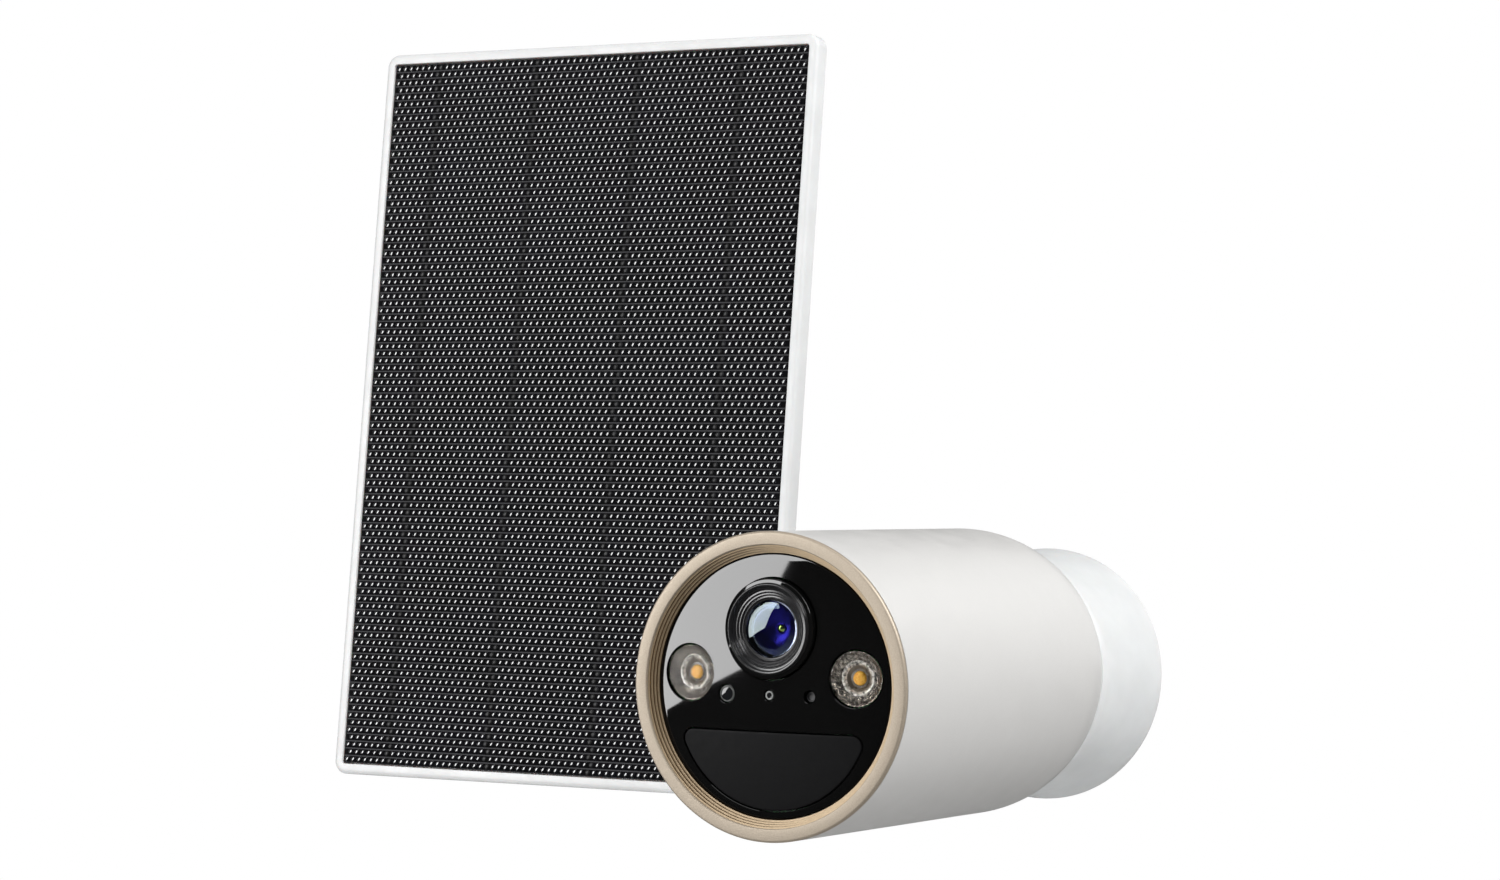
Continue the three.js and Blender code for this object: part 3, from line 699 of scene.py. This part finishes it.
def pir_outline(inset):
    """D shape with a flat top, a round lower edge and rounded corners."""
    radius = PIR_RADIUS - inset
    corner = max(PIR_CORNER - inset, 0.3)
    up = PIR_TOP - inset - PIR_CENTRE - corner
    across = sqrt((radius - corner) ** 2 - up ** 2)
    leave = atan2(up, across)
    spans = [
        (-across, up, corner, pi / 2, pi - leave, 8),
        (0, 0, radius, pi - leave, tau + leave, 96),
        (across, up, corner, leave, pi / 2, 8),
    ]
    made = []
    for x, z, size, start, end, steps in spans:
        for i in range(steps + (1 if size == corner and x > 0 else 0)):
            angle = start + (end - start) * i / steps
            made.append((x + size * cos(angle), PIR_CENTRE + z + size * sin(angle)))
    top = PIR_CENTRE + up + corner
    made += [(across * (1 - i / 20), top) for i in range(1, 40)]
    return made


def opening(outline_at):
    """Cutter with a small flare that follows the window's dome."""
    loops = [level_loop(outline_at(0), CUT_BACK), domed(outline_at(0), RIM)]
    loops += [domed(outline_at(RIM), -0.01), level_loop(outline_at(RIM), CUT_FRONT)]
    return skinned("cutter", loops, HEAD)


def round_opening(radius, x, z, count=96):
    return opening(lambda grow: circle(radius + grow, x, z, count))


def front_window():
    rings = 24
    surface = [WINDOW_RADIUS * (1 - i / rings) for i in range(1, rings)]
    profile = [(0, WINDOW_BACK), (WINDOW_RADIUS, WINDOW_BACK, 0.1)]
    profile += [(WINDOW_RADIUS, crown(WINDOW_RADIUS, 0), 0.2)]
    profile += [(radius, crown(radius, 0), 0) for radius in surface] + [(0, WINDOW_MIDDLE)]
    piece = lathe("front_window_face", soften(profile, 0, 3), HEAD, 192)
    cutters = [
        round_opening(LENS_HOLE, 0, LENS_Z),
        round_opening(SPOT_RADIUS + 0.3, -SPOT_X, SPOT_Z),
        round_opening(SPOT_RADIUS + 0.3, SPOT_X, SPOT_Z),
        opening(lambda grow: pir_outline(-grow)),
    ]
    cutters += [round_opening(radius, x, DOT_Z, 48) for x, radius in DOTS.values()]
    combine(piece, cutters)
    dress(piece, "camera", ["front_window"], "gloss_window", crease=25)


def pir_window():
    gap = 0.3
    drop = 0.15
    edge = 0.22
    loops = [level_loop(pir_outline(gap), WINDOW_BACK)]
    for down, inward in rounding(5):
        loops.append(domed(pir_outline(gap + edge * inward), drop + edge * down))
    loops += [domed(pir_outline(inset), drop) for inset in (0.9, 1.6, 2.4, 3.5, 4.8, 6.2, 7.6)]
    piece = skinned("pir_window_face", loops, HEAD)
    dress(piece, "camera", ["pir_window"], "black_trim", PIR_BLACK)


def small_sensors():
    """The three dots below the lens: a sensor's dome, a light's tip and the microphone."""
    dome = [(1.8, 90.95, 0.1), (1.45, 91.25, 0.2), (0.8, 91.38, 0.3), (0, 91.42)]
    pipe = [(1, 91.5, 0.12), (0.62, 91.5, 0.05), (0.5, 91.3, 0.05), (0, 91.3)]
    mesh = [(1.1, 90.6, 0.1), (0.8, 90.6, 0.1), (0.7, 90.3, 0.1), (0, 90.3)]
    rows = (
        ("light_sensor_dome", "light_sensor_window", "sensor", dome, 1.5),
        ("status_light_tip", "status_light_pipe", "status", pipe, 0.62),
        ("microphone_port", "microphone", "microphone", mesh, None),
    )
    for name, node, dot, front, tip in rows:
        at = (DOTS[dot][0], 0, DOT_Z)
        profile = [(0, DOT_BACK), (front[0][0], DOT_BACK), *front]
        piece = lathe(name, soften(profile, 0.05), HEAD, 64, at)
        if tip is None:
            dress(piece, "camera", [node], "black_trim")
        else:
            dress(piece, "camera", [node], "clear_lens", SENSOR_DOME)
            by_radius(piece, tip, MILKY_TIP, at)


def lens():
    """Ridged trim, the two glass elements and the tube with its baffles."""
    at = (0, 0, LENS_Z)
    trim = [
        (11, 87.2), (11, 92.25, 0.25), (10.1, 92.42, 0.05), (9.95, 92.95, 0.1), (9.75, 93.1, 0.1),
        (9.35, 93.05, 0.1), (9.1, 92.35, 0.1), (8.7, 92.3, 0.08), (8.55, 91.9, 0.08),
        (8.1, 92.0, 0.1), (7.9, 91.6, 0.08), (7.5, 91.7, 0.1), (7.3, 91.3, 0.08), (6.9, 91.45, 0.1),
        (6.7, 91.2, 0.06), (6.4, 91.2, 0.05), (6.4, 87.2),
    ]
    ring = lathe("lens_trim_ring", soften(trim, 0.05), HEAD, 160, at)
    dress(ring, "camera", ["lens_bezel"], "black_trim", LENS_TRIM, 25)
    by_radius(ring, 10.12, MATERIALS["gloss_window"], at)
    glass = [(0, 90.5), (4.5, 90.3, 0.3), (LENS_GLASS, 89.8, 0.1), (LENS_GLASS, 91.2, 0.08)]
    for i in range(1, 20):
        radius = LENS_GLASS * (1 - i / 20)
        drop = LENS_CURVE - sqrt(LENS_CURVE ** 2 - radius ** 2)
        glass.append((radius, LENS_FRONT - drop, 0))
    front = lathe("lens_front_element", soften(glass + [(0, LENS_FRONT)], 0), HEAD, 128, at)
    dress(front, "camera", ["lens_front_glass"], "coated_glass")
    rear = [(0, 82.2), (LENS_REAR, 82.2), (LENS_REAR, 88.6)]
    hollow = [LENS_REAR - 0.5 * i for i in range(1, 10)]
    rear += [(radius, 86.4 + 2.2 * (radius / LENS_REAR) ** 2) for radius in hollow]
    rear += [(0.8, 86.6), (0.6, 86.8), (0.35, 86.9), (0, 86.95)]
    back = lathe("lens_rear_element", rear, HEAD, 96, at)
    # The green disc in the middle is a painted glint; the violet round it is the element's coating.
    dress(back, "camera", ["lens_rear_glass"], "coated_glass", GLINT_GREEN, 60)
    by_radius(back, 0.7, INNER_VIOLET, at)
    tube = [(6.2, 86.9), (8.6, 86.9), (8.6, 72.4), (4, 72.4), (4, 79.6)]
    for i in range(6):
        tube += [(6.2, 79.7 + 1.2 * i), (6.2, 80.3 + 1.2 * i), (5.75, 80.45 + 1.2 * i)]
    barrel = lathe("lens_tube", soften(tube, 0.05, 2), HEAD, 96, at)
    dress(barrel, "camera", ["lens_barrel"], "black_trim")


def spotlight(side, x):
    """Clear cover, textured bowl with a pale lip ring painted as a highlight, and light source, square to the
    window.
    """
    lean = Matrix.Rotation(atan2(x, WINDOW_CURVE), 4, "Z")
    tilt = Matrix.Rotation(atan2(SPOT_Z, WINDOW_CURVE), 4, "X")
    top = crown(x, SPOT_Z)
    place = HEAD @ Matrix.Translation((x * MM, -top * MM, SPOT_Z * MM)) @ lean @ tilt
    cover = [(0, -0.75), (6.05, -0.75, 0.08), (6.05, -0.25, 0.15), (5.7, -0.06, 0.2)]
    cover += [(3, 0.03), (0, 0.06)]
    glass = lathe(f"spotlight_cover_{side}", soften(cover, 0.1), place, 96)
    dress(glass, "camera", [f"spotlight_lens_{side}"], "clear_lens")
    bowl = [
        (2.0, -3.5), (6.0, -2.3), (6.0, -0.85, 0.05), (5.75, -0.85, 0.05), (5.5, -1.15, 0.1),
        (4.7, -1.75, 0.4), (3.95, -2.2, 0.2), (3.75, -1.85, 0.1), (3.3, -1.95, 0.1),
        (2.95, -2.35, 0.2), (2.3, -2.9, 0.2), (2.0, -3.1, 0.05),
    ]
    mirror = lathe(f"spotlight_bowl_{side}", soften(bowl, 0.05), place, 96)
    dress(mirror, "camera", [f"spotlight_reflector_{side}"], "reflector", BOWL_CENTRE)
    # The lip ring's pale finish is a painted highlight on the reflector.
    by_radius(mirror, 2.9, BOWL_LIP_HIGHLIGHT)
    by_radius(mirror, 3.9, MATERIALS["reflector"])
    source = [
        (0, -3.45), (2.1, -3.45), (2.1, -2.95, 0.1), (1.55, -2.9, 0.05), (1.5, -2.7, 0.2),
        (1.3, -2.35, 0.3), (0.8, -2.1, 0.3), (0, -2.0),
    ]
    chip = lathe(f"spotlight_source_{side}", soften(source, 0.05), place, 48)
    dress(chip, "camera", [f"spotlight_led_{side}"], "phosphor")
    by_radius(chip, 1.55, BOWL_CENTRE)


# ---------------- camera base

DOME_CENTRE = -JOINTS["camera_tilt"]["pos_m"][1] / MM
SCREW_HOLE = 2.3
BASE_SCREWS = 19  # from the middle, across
LOCK_SCREW = 4.4  # level of the lock screw


def base():
    """Wall plate, cup, friction pad and lock screw of the dome mount."""
    plate = [
        (0, 0), (28.5, 0, 0.4), (28.5, 6, 0.3), (26.3, 6, 0.3), (26.3, 3, 0.4), (12.5, 3, 0.3),
        (12.5, 4.3, 0.2), (0, 4.3),
    ]
    back = lathe("wall_plate", soften(plate, 0.2), BASE, 192)
    for x in (-BASE_SCREWS, BASE_SCREWS):
        combine(back, screw_hole(3.2, 1.6, 4.4, BASE, (x, 0, 0)))
    dress(back, "root", ["base_plate"], "black_trim")
    outer = [(31.1, 0.4, 0.25), (31.1, 2, 0.8), (28.1, 25.4, 1.2), (27.3, 27, 0.6)]
    outer += arc(34.5, DOME_CENTRE, 49.9, 46.4, 3) + arc(36.1, DOME_CENTRE, 46, 22, 16)
    outer += [(13.5, 8, 0.2), (15.5, 8, 0.2)] + arc(38.6, DOME_CENTRE, 24, 38, 8)
    outer += [(26.6, 18.8), (28.9, 6.6), (28.9, 0.4)]
    shell = lathe("base_cup", soften(outer, 0.3, 6), BASE, ROUND)
    combine(shell, [bar(1.5, -35, -27, BASE, (0, LOCK_SCREW, 0), "up", 32)])
    dress(shell, "root", ["base_shell"], "white_shell")
    rest = arc(35.8, DOME_CENTRE, 0, 45, 24) + arc(34.3, DOME_CENTRE, 45, 0, 24)
    pad = lathe("seat_liner", soften(rest, 0), BASE, 192)
    dress(pad, "seat", ["seat_pad"], "black_rubber")
    screw = [(0, -30.6), (1.2, -30.6, 0.15), (1.2, -28.9, 0.1), (0, -28.9)]
    lock = lathe("lock_screw_head", soften(screw, 0.05), BASE, 32, (0, LOCK_SCREW, 0), "up")
    combine(lock, [bar(0.62, -31, -30, BASE, (0, LOCK_SCREW, 0), "up", 6)])
    dress(lock, "root", ["base_lock_screw"], "steel")


# ---------------- panel bracket

BRACKET_SCREWS = 18  # radius of the circle of the bracket's three screws


def bracket_plate():
    """Wall plate with three screw holes, and the cross-head pivot in its middle."""
    plate = [(0, 0), (24, 0, 0.3), (24, 2.6, 0.8), (22.6, 4, 0.8), (5.6, 4, 0.6), (5, 4.8, 0.5)]
    plate += [(5, 9.5, 0.3), (1.9, 9.5, 0.1), (1.9, 4), (0, 4)]
    piece = lathe("wall_disc", soften(plate, 0.2, 5), BRACKET, 192)
    for degrees in (90, 210, 330):
        angle = radians(degrees)
        at = (BRACKET_SCREWS * cos(angle), 0, BRACKET_SCREWS * sin(angle))
        combine(piece, screw_hole(4.2, 1.8, 4.3, BRACKET, at))
    dress(piece, "root", ["bracket_plate"], "white_shell")
    head = [(0, 5.6), (1.6, 5.6), (1.6, 9.8), (7, 9.8, 0.2), (7, 10.6, 0.5), (5.4, 11.4, 0.8)]
    screw = lathe("swivel_screw_head", soften(head + [(0, 11.4)], 0.1), BRACKET, 96)
    slots = [rectangle(5.2, 1.1, 0.3, 4), rectangle(1.1, 5.2, 0.3, 4)]
    combine(screw, [prism(slot, 10.4, 12, BRACKET) for slot in slots])
    dress(screw, "root", ["swivel_screw"], "steel")


HINGE_FORWARD = -HINGE[1] / MM
KNUCKLE = 6.0
EAR_ROOT = 6
EAR_INNER = 7.9
EAR_OUTER = 11.6
BOLT = 2.5
BOLT_HOLE = BOLT + 0.3
KNOB_RADIUS = 8
KNOB_HOLLOW = 1.6
KNOB_LOBES = 6
RING_TEETH = 36


def rounded_ear(inset):
    """Outline of a hinge ear, as forward and up, with its round end at the hinge."""
    radius = KNUCKLE - inset
    angles = [pi * (i / 32 - 0.5) for i in range(33)]
    end = [(HINGE_FORWARD + radius * cos(angle), radius * sin(angle)) for angle in angles]
    return [(EAR_ROOT, -radius), *end, (EAR_ROOT, radius)]


def bracket_arm():
    """Forked arm, and the bolt through its ears."""
    collar = [(5.3, 4.3, 0.3), (13, 4.3, 0.6), (13, 9.3, 1.0), (5.3, 9.3, 0.3)]
    piece = lathe("swivel_fork", soften(collar, 0.3, 5), BRACKET, 128)
    for start, end in ((-EAR_OUTER, -EAR_INNER), (EAR_INNER, EAR_OUTER)):
        ear = soft_prism("cutter", rounded_ear, start, end, 0.5, BRACKET, 4, "across")
        combine(piece, [ear], "UNION")
    combine(piece, [bar(BOLT_HOLE, -20, 20, BRACKET, (0, HINGE_FORWARD, 0), "across")])
    dress(piece, "arm", ["bracket_arm"], "white_shell")
    shank = [(0, -EAR_OUTER - 1), (BOLT, -EAR_OUTER - 1), (BOLT, 14.6, 0.4), (0, 14.6)]
    bolt = lathe("hinge_bolt_shank", soften(shank, 0.1), ARM, 64, axis="across")
    hexagon = [(0, -14.8), (3.9, -14.8, 0), (4.4, -14.5, 0), (4.4, -11.9, 0), (0, -11.9)]
    combine(bolt, [lathe("cutter", soften(hexagon, 0), ARM, 6, axis="across")], "UNION")
    dress(bolt, "arm", ["hinge_bolt"], "steel")


def lobed(inset):
    """Outline of the knob, with a finger hollow between each two lobes."""
    count = 240
    waves = [0.5 - 0.5 * cos(KNOB_LOBES * tau * i / count) for i in range(count)]
    return polar([KNOB_RADIUS - KNOB_HOLLOW * wave ** 2 - inset for wave in waves])


def hinge_knob():
    edges = [
        (1.0, 11.9), (0.45, 12.0), (0.15, 12.3), (0, 12.8), (0, 17.7), (0.12, 18.2), (0.4, 18.65),
        (0.8, 18.92), (1.3, 19),
    ]
    sections = [(lobed(inset), level) for inset, level in edges]
    piece = stacked("hinge_knob_grip", sections, ARM, axis="across")
    combine(piece, [bar(BOLT_HOLE, 10, 15, ARM, axis="across")])
    dress(piece, "knob", ["hinge_knob"], "black_trim")


def tilt_head():
    """Knuckle in the fork with its flange and threaded stud, and the ring that locks the stud."""
    width = EAR_INNER - 0.3
    barrel = [(0, -width), (KNUCKLE, -width, 0.4), (KNUCKLE, width, 0.4), (0, width)]
    piece = lathe("tilt_knuckle", soften(barrel, 0.3), PANEL, 96, axis="across")
    flange = [(0, 0), (5.4, 0), (5.4, 6.8, 0.4), (0, 6.8)]
    stud = [(0, 6), (2.8, 6)]
    for i in range(11):
        stud += [(2.8, 7.2 + i), (2.45, 7.7 + i)]
    stud += [(2.6, 17.7), (2.4, 18), (0, 18)]
    combine(piece, [lathe("cutter", soften(flange, 0.1), PANEL, 96)], "UNION")
    combine(piece, [lathe("cutter", stud, PANEL, 48)], "UNION")
    combine(piece, [bar(BOLT_HOLE, -20, 20, PANEL, axis="across")])
    dress(piece, "panel", ["tilt_head"], "white_shell")
    points = 4 * RING_TEETH
    bore = circle(7.4, count=points)
    teeth = polar([8.2 if i % 4 in (0, 1) else 7.85 for i in range(points)])
    sections = [(bore, 7.1), (teeth, 7.6), (teeth, 10.7), (bore, 11.2)]
    ring = stacked("lock_ring_grip", sections, PANEL)
    combine(ring, [bar(3.1, 6, 12, PANEL)])
    dress(ring, "ring", ["lock_ring"], "black_trim")


# ---------------- solar panel

FRAME_LOW, FRAME_HIGH = extent("panel_frame", PANEL)
FRAME_WIDTH = FRAME_HIGH[0] - FRAME_LOW[0]
FRAME_HEIGHT = FRAME_HIGH[2] - FRAME_LOW[2]
FACE = FRAME_HIGH[1]
FRAME_BACK = FRAME_LOW[1]
FRAME_CORNER = 3.4
BEZEL = 2.6
POCKET_DEPTH = 2.8
BACK_ROUND = 0.7
FRONT_ROUND = 1.1


def panel_frame():
    """Tray with softly rounded outer edges and a crisp lip round the cells."""
    sections = []

    def add(inset, forward):
        corner = max(FRAME_CORNER - inset, 0.8)
        size = (FRAME_WIDTH - 2 * inset, FRAME_HEIGHT - 2 * inset)
        sections.append((rectangle(*size, corner), forward))

    for inward, along in rounding(6):
        add(BACK_ROUND * inward, FRAME_BACK + BACK_ROUND * along)
    for back, inward in rounding(6):
        add(FRONT_ROUND * inward, FACE - FRONT_ROUND * back)
    for outward, drop in ((0.15, 0), (0.04, 0.04), (0, 0.15), (0, POCKET_DEPTH)):
        add(BEZEL - outward, FACE - drop)
    piece = stacked("panel_tray", sections, PANEL)
    dress(piece, "panel", ["panel_frame"], "white_shell")


BUMP_PITCH = 1.88
BUMP_RADIUS = 0.76
BUMP_HEIGHT = 0.21
BUMP_SIDES = 8
DIM_REACH = 0.95  # domes this near a printed line have no gloss
FLAT, GLOSSY_DOME, DIM_DOME = range(3)


class Weave:
    """Collects the vertices and faces of the panel's bumps, sharing points that coincide."""

    def __init__(self):
        self.points = []
        self.faces = []
        self.known = {}
        self.finish = []

    def add(self, faces, finish):
        """Faces with the index of their finish."""
        self.faces += faces
        self.finish += [finish] * len(faces)

    def point(self, x, level, z):
        key = (round(x, 3), round(level, 3), round(z, 3))
        if key not in self.known:
            self.known[key] = len(self.points)
            self.points.append((x, level, z))
        return self.known[key]


def add_bump(weave, x, z, width, level, dull):
    """One tile of the cover with a small dome in its middle, glossy or dull."""
    side = width / 2
    up = BUMP_RISE / 2
    border = ((-side, -up), (0, -up), (side, -up), (side, up), (0, up), (-side, up))
    rim = [weave.point(x + a, level, z + b) for a, b in border]
    turns = [tau * (i + 0.5) / BUMP_SIDES for i in range(BUMP_SIDES)]
    rings = []
    for share, rise in ((1.0, 0.0), (0.86, 0.5), (0.5, 0.87)):
        r = BUMP_RADIUS * share
        height = level + BUMP_HEIGHT * rise
        rings.append([weave.point(x + r * cos(a), height, z + r * sin(a)) for a in turns])
    top = weave.point(x, level + BUMP_HEIGHT, z)
    dome = band(rings[0], rings[1]) + band(rings[1], rings[2]) + band(rings[2], [top])
    weave.add(dome, DIM_DOME if dull else GLOSSY_DOME)
    # Each run of the border is joined to the sides of the dome that face it.
    low = rings[0]
    runs = ((0, (5, 4)), (1, (6, 5)), (2, (1, 0, 7, 6)), (3, (2, 1)), (4, (3, 2)), (5, (4, 3)))
    for corner, sides in runs:
        weave.add([(rim[corner], rim[(corner + 1) % 6], *[low[side] for side in sides])], FLAT)


def panel_cover():
    """Black cover of the cells, with its rows of small glossy domes staggered by half a pitch."""
    columns = int(LAMINATE_WIDTH / BUMP_PITCH)
    pitch = LAMINATE_WIDTH / columns
    level = LAMINATE_HIGH[1] - BUMP_HEIGHT
    left = LAMINATE_LOW[0]
    right = LAMINATE_HIGH[0]
    weave = Weave()
    for row in range(BUMP_ROWS):
        z = LAMINATE_LOW[2] + BUMP_RISE * (row + 0.5)
        odd = row % 2
        for column in range(columns - odd):
            x = left + pitch * (column + 0.5 + odd / 2)
            across = (x - left - CELL_FIRST + CELL_PITCH / 2) % CELL_PITCH - CELL_PITCH / 2
            add_bump(weave, x, z, pitch, level, abs(across) < DIM_REACH)
        if odd:
            for start, end in ((left, left + pitch / 2), (right - pitch / 2, right)):
                corners = ((start, -1), (end, -1), (end, 1), (start, 1))
                spots = [weave.point(x, level, z + side * BUMP_RISE / 2) for x, side in corners]
                weave.add([tuple(spots)], FLAT)
    piece = new_piece("panel_cover_sheet", weave.points, weave.faces, PANEL)
    piece.data.polygons.foreach_set("material_index", weave.finish)
    close_sheet(piece, LAMINATE_LOW[1])
    finish = [face.material_index for face in piece.data.polygons]
    dress(piece, "panel", ["panel_laminate"], "laminate", GAP_BLACK_WITH_SHEEN, 60)
    piece.data.materials.append(MATERIALS["laminate"])
    piece.data.materials.append(DIM_BLACK)
    piece.data.polygons.foreach_set("material_index", finish)


def close_sheet(piece, back):
    """Gives an open sheet its sides and a flat back."""
    build = bmesh.new()
    build.from_mesh(piece.data)
    rim = [edge for edge in build.edges if edge.is_boundary]
    made = bmesh.ops.extrude_edge_only(build, edges=rim)["geom"]
    for vertex in (part for part in made if isinstance(part, bmesh.types.BMVert)):
        vertex.co.y = -back * MM
    lower = [part for part in made if isinstance(part, bmesh.types.BMEdge) and part.is_boundary]
    bmesh.ops.contextual_create(build, geom=lower)
    bmesh.ops.recalc_face_normals(build, faces=build.faces)
    build.to_mesh(piece.data)
    build.free()


GLAND_DEPTH = 9.4  # axis of the cable gland behind the panel's face


def rear_housing():
    """Junction box on the panel's back, and the gland that the lead leaves by."""
    low, high = extent("panel_rear_housing", PANEL)
    width = high[0] - low[0]
    back = low[1]
    front = high[1]

    def outline_at(inset):
        return rectangle(width - 2 * inset, width - 2 * inset, 9 - inset)

    piece = soft_prism("junction_housing", outline_at, back, front, 1.0, PANEL)
    combine(piece, [prism(rectangle(width - 4, width - 4, 7), back + 2, front + 1, PANEL)])
    combine(piece, [bar(7.5, back + 1, front - 0.5, PANEL, segments=64)], "UNION")
    hole = [(0, back - 1), (6.1, back - 1), (6.1, back), (5.3, back + 0.6), (5.3, front + 1)]
    at = (0, FACE - GLAND_DEPTH, 0)
    inlet = bar(3, -40, -20, PANEL, at, "up")
    combine(piece, [lathe("cutter", hole + [(0, front + 1)], PANEL, 96), inlet])
    dress(piece, "panel", ["panel_rear_housing"], "white_shell")
    profile = [(1.7, -36, 0.2), (3.5, -36, 0.3)]
    for i in range(4):
        profile += [(3.8, -35.6 + i, 0.15), (3.8, -35.1 + i, 0.15)]
        profile += [(3.35, -35.0 + i, 0.1), (3.35, -34.7 + i, 0.1)]
    profile += [(3.8, -31.5, 0.2), (3.8, -31.3, 0.1), (2.7, -31.3, 0.1), (2.7, -27.6, 0.1)]
    profile.append((1.7, -27.6, 0.1))
    gland = lathe("cable_gland_bush", soften(profile, 0.1, 3), PANEL, 64, at, "up")
    dress(gland, "panel", ["cable_gland"], "black_rubber")


# ---------------- studio

VIEW_AZIMUTH = 29.95  # the camera's direction from the dome's centre, in degrees
VIEW_ELEVATION = -2.94
VIEW_ROLL = 2.11
VIEW_DISTANCE = 0.9286  # and its place along and beside that direction, in metres
VIEW_RIGHT = -0.04985
VIEW_UP = 0.05511
VIEW_LENS = 93.42
SENSOR_WIDTH = 36
WHITE = (1, 1, 1, 1)


def direction(azimuth, elevation):
    """Unit vector from the object; azimuth 0 is towards -Y and grows towards +X, in degrees."""
    a = radians(azimuth)
    e = radians(elevation)
    return Vector((sin(a) * cos(e), -cos(a) * cos(e), sin(e)))


def add_camera():
    back = direction(VIEW_AZIMUTH, VIEW_ELEVATION)
    right = (-back).cross(Vector((0, 0, 1))).normalized()
    up = right.cross(-back)
    roll = radians(VIEW_ROLL)
    across = right * cos(roll) + up * sin(roll)
    upward = up * cos(roll) - right * sin(roll)
    data = bpy.data.cameras.new("camera")
    data.lens = VIEW_LENS
    data.sensor_width = SENSOR_WIDTH
    camera = add_object("camera", data)
    spot = HEAD.translation + back * VIEW_DISTANCE + across * VIEW_RIGHT + upward * VIEW_UP
    basis = Matrix((across, upward, back)).transposed().to_4x4()
    camera.matrix_world = Matrix.Translation(spot) @ basis
    bpy.context.scene.camera = camera


LIGHT_TARGET = Vector((0, -0.09, 0))
LIGHTS = {  # azimuth, elevation, distance, width, height, power
    "top": (20, 75, 1.3, 1.3, 0.9, 4),
    "right": (82, 42, 1.5, 0.7, 0.8, 30),
    "rear_fill": (170, 20, 1.8, 1.2, 1.2, 3),
}


def add_light(name, azimuth, elevation, distance, width, height, power):
    """Soft rectangular light that faces the object."""
    data = bpy.data.lights.new(name, "AREA")
    data.shape = "RECTANGLE"
    data.size = width
    data.size_y = height
    data.energy = power
    light = add_object(name, data)
    outward = direction(azimuth, elevation)
    light.location = LIGHT_TARGET + outward * distance
    light.rotation_euler = outward.to_track_quat("Z", "Y").to_euler()


KEY_CORNER = (-34.0, -3.3)  # azimuth and elevation of the key panel's inner lower corner
KEY_ALONG_SIDE = (-27.5, 11.1)  # and of a point on each of the two edges that meet there
KEY_ALONG_BOTTOM = (-47.8, -8.5)
KEY_AHEAD = 0.09  # how far in front of the dome's centre they are seen from
KEY_DISTANCE = 1.25
KEY_RISE = 2.8  # length of each edge, in steps from the corner to its point
KEY_REACH = 1.8
KEY_STRENGTH = 10.5


def add_key_panel():
    """Glowing panel in front and to the left, which the gloss window and the lens reflect."""
    corner = direction(*KEY_CORNER)
    side = (direction(*KEY_ALONG_SIDE) - corner) * KEY_RISE
    bottom = (direction(*KEY_ALONG_BOTTOM) - corner) * KEY_REACH
    centre = HEAD.translation + Vector((0, -KEY_AHEAD, 0))
    corners = (corner, corner + side, corner + side + bottom, corner + bottom)
    spots = [centre + spot * KEY_DISTANCE for spot in corners]
    panel = add_mesh("key_panel", spots, [(0, 1, 2, 3)])
    material = bpy.data.materials.new("key_glow")
    material.use_nodes = True
    tree = material.node_tree
    tree.nodes.clear()
    glow = tree.nodes.new("ShaderNodeEmission")
    glow.inputs["Color"].default_value = WHITE
    glow.inputs["Strength"].default_value = KEY_STRENGTH
    output = tree.nodes.new("ShaderNodeOutputMaterial")
    tree.links.new(glow.outputs[0], output.inputs["Surface"])
    panel.data.materials.append(material)
    panel.visible_camera = False


FLOOR_DROP = 0.28
FLOOR_SIZE = 3.0
FLOOR_GREY = (0.55, 0.55, 0.55, 1)
FLOOR_GLOW = 0.24
FLOOR_FADE = (900, 2600)  # where it starts and ends to fade out, in mm from the origin


def add_floor():
    """Pale round floor, well below the object, that fades out into the white behind it."""
    low, high = CAD_BOX
    middle = (low + high) / 2
    level = low.z - FLOOR_DROP
    spots = [(x, y, level) for x, y in circle(FLOOR_SIZE, middle.x, middle.y)]
    floor = add_mesh("floor", spots, [tuple(range(len(spots)))])
    look = Look("floor", FLOOR_GREY, 0.9)
    look.set("Emission Color", WHITE)
    look.set("Emission Strength", FLOOR_GLOW)
    look.mottle(300, 0.01)
    squares = [look.math("POWER", look.axis(letter), 2) for letter in ("X", "Y")]
    away = look.math("POWER", look.math("ADD", *squares), 0.5)
    look.feed(look.shader.inputs["Alpha"], look.remap(away, 1, 0, *FLOOR_FADE))
    floor.data.materials.append(look.material)
    floor.visible_glossy = False


BACKDROP_LIGHT = 1.0
ROOM_LIGHT = 0.22
ROOM_IN_GLOSS = 0.03


def add_world():
    """White behind the object, and a dim room in its reflections."""
    world = bpy.data.worlds.new("studio")
    bpy.context.scene.world = world
    world.use_nodes = True
    nodes = world.node_tree.nodes
    links = world.node_tree.links
    rays = nodes.new("ShaderNodeLightPath")
    strength = nodes["Background"].inputs["Strength"]
    nodes["Background"].inputs["Color"].default_value = WHITE
    for ray, value in (("Is Camera Ray", BACKDROP_LIGHT), ("Is Glossy Ray", ROOM_IN_GLOSS)):
        mix = nodes.new("ShaderNodeMix")
        mix.inputs["B"].default_value = value
        links.new(rays.outputs[ray], mix.inputs["Factor"])
        links.new(mix.outputs["Result"], strength)
        strength = mix.inputs["A"]
    strength.default_value = ROOM_LIGHT


def add_studio():
    add_camera()
    add_world()
    add_floor()
    add_key_panel()
    for name, setting in LIGHTS.items():
        add_light(name, *setting)
    bpy.context.scene.view_settings.view_transform = "Standard"


# ---------------- assembly

add_studio()
front_ring()
casing()
port_cover()
front_window()
pir_window()
small_sensors()
lens()
spotlight("left", -SPOT_X)
spotlight("right", SPOT_X)
base()
bracket_plate()
bracket_arm()
hinge_knob()
tilt_head()
panel_frame()
panel_cover()
rear_housing()
dress_cad_nodes()
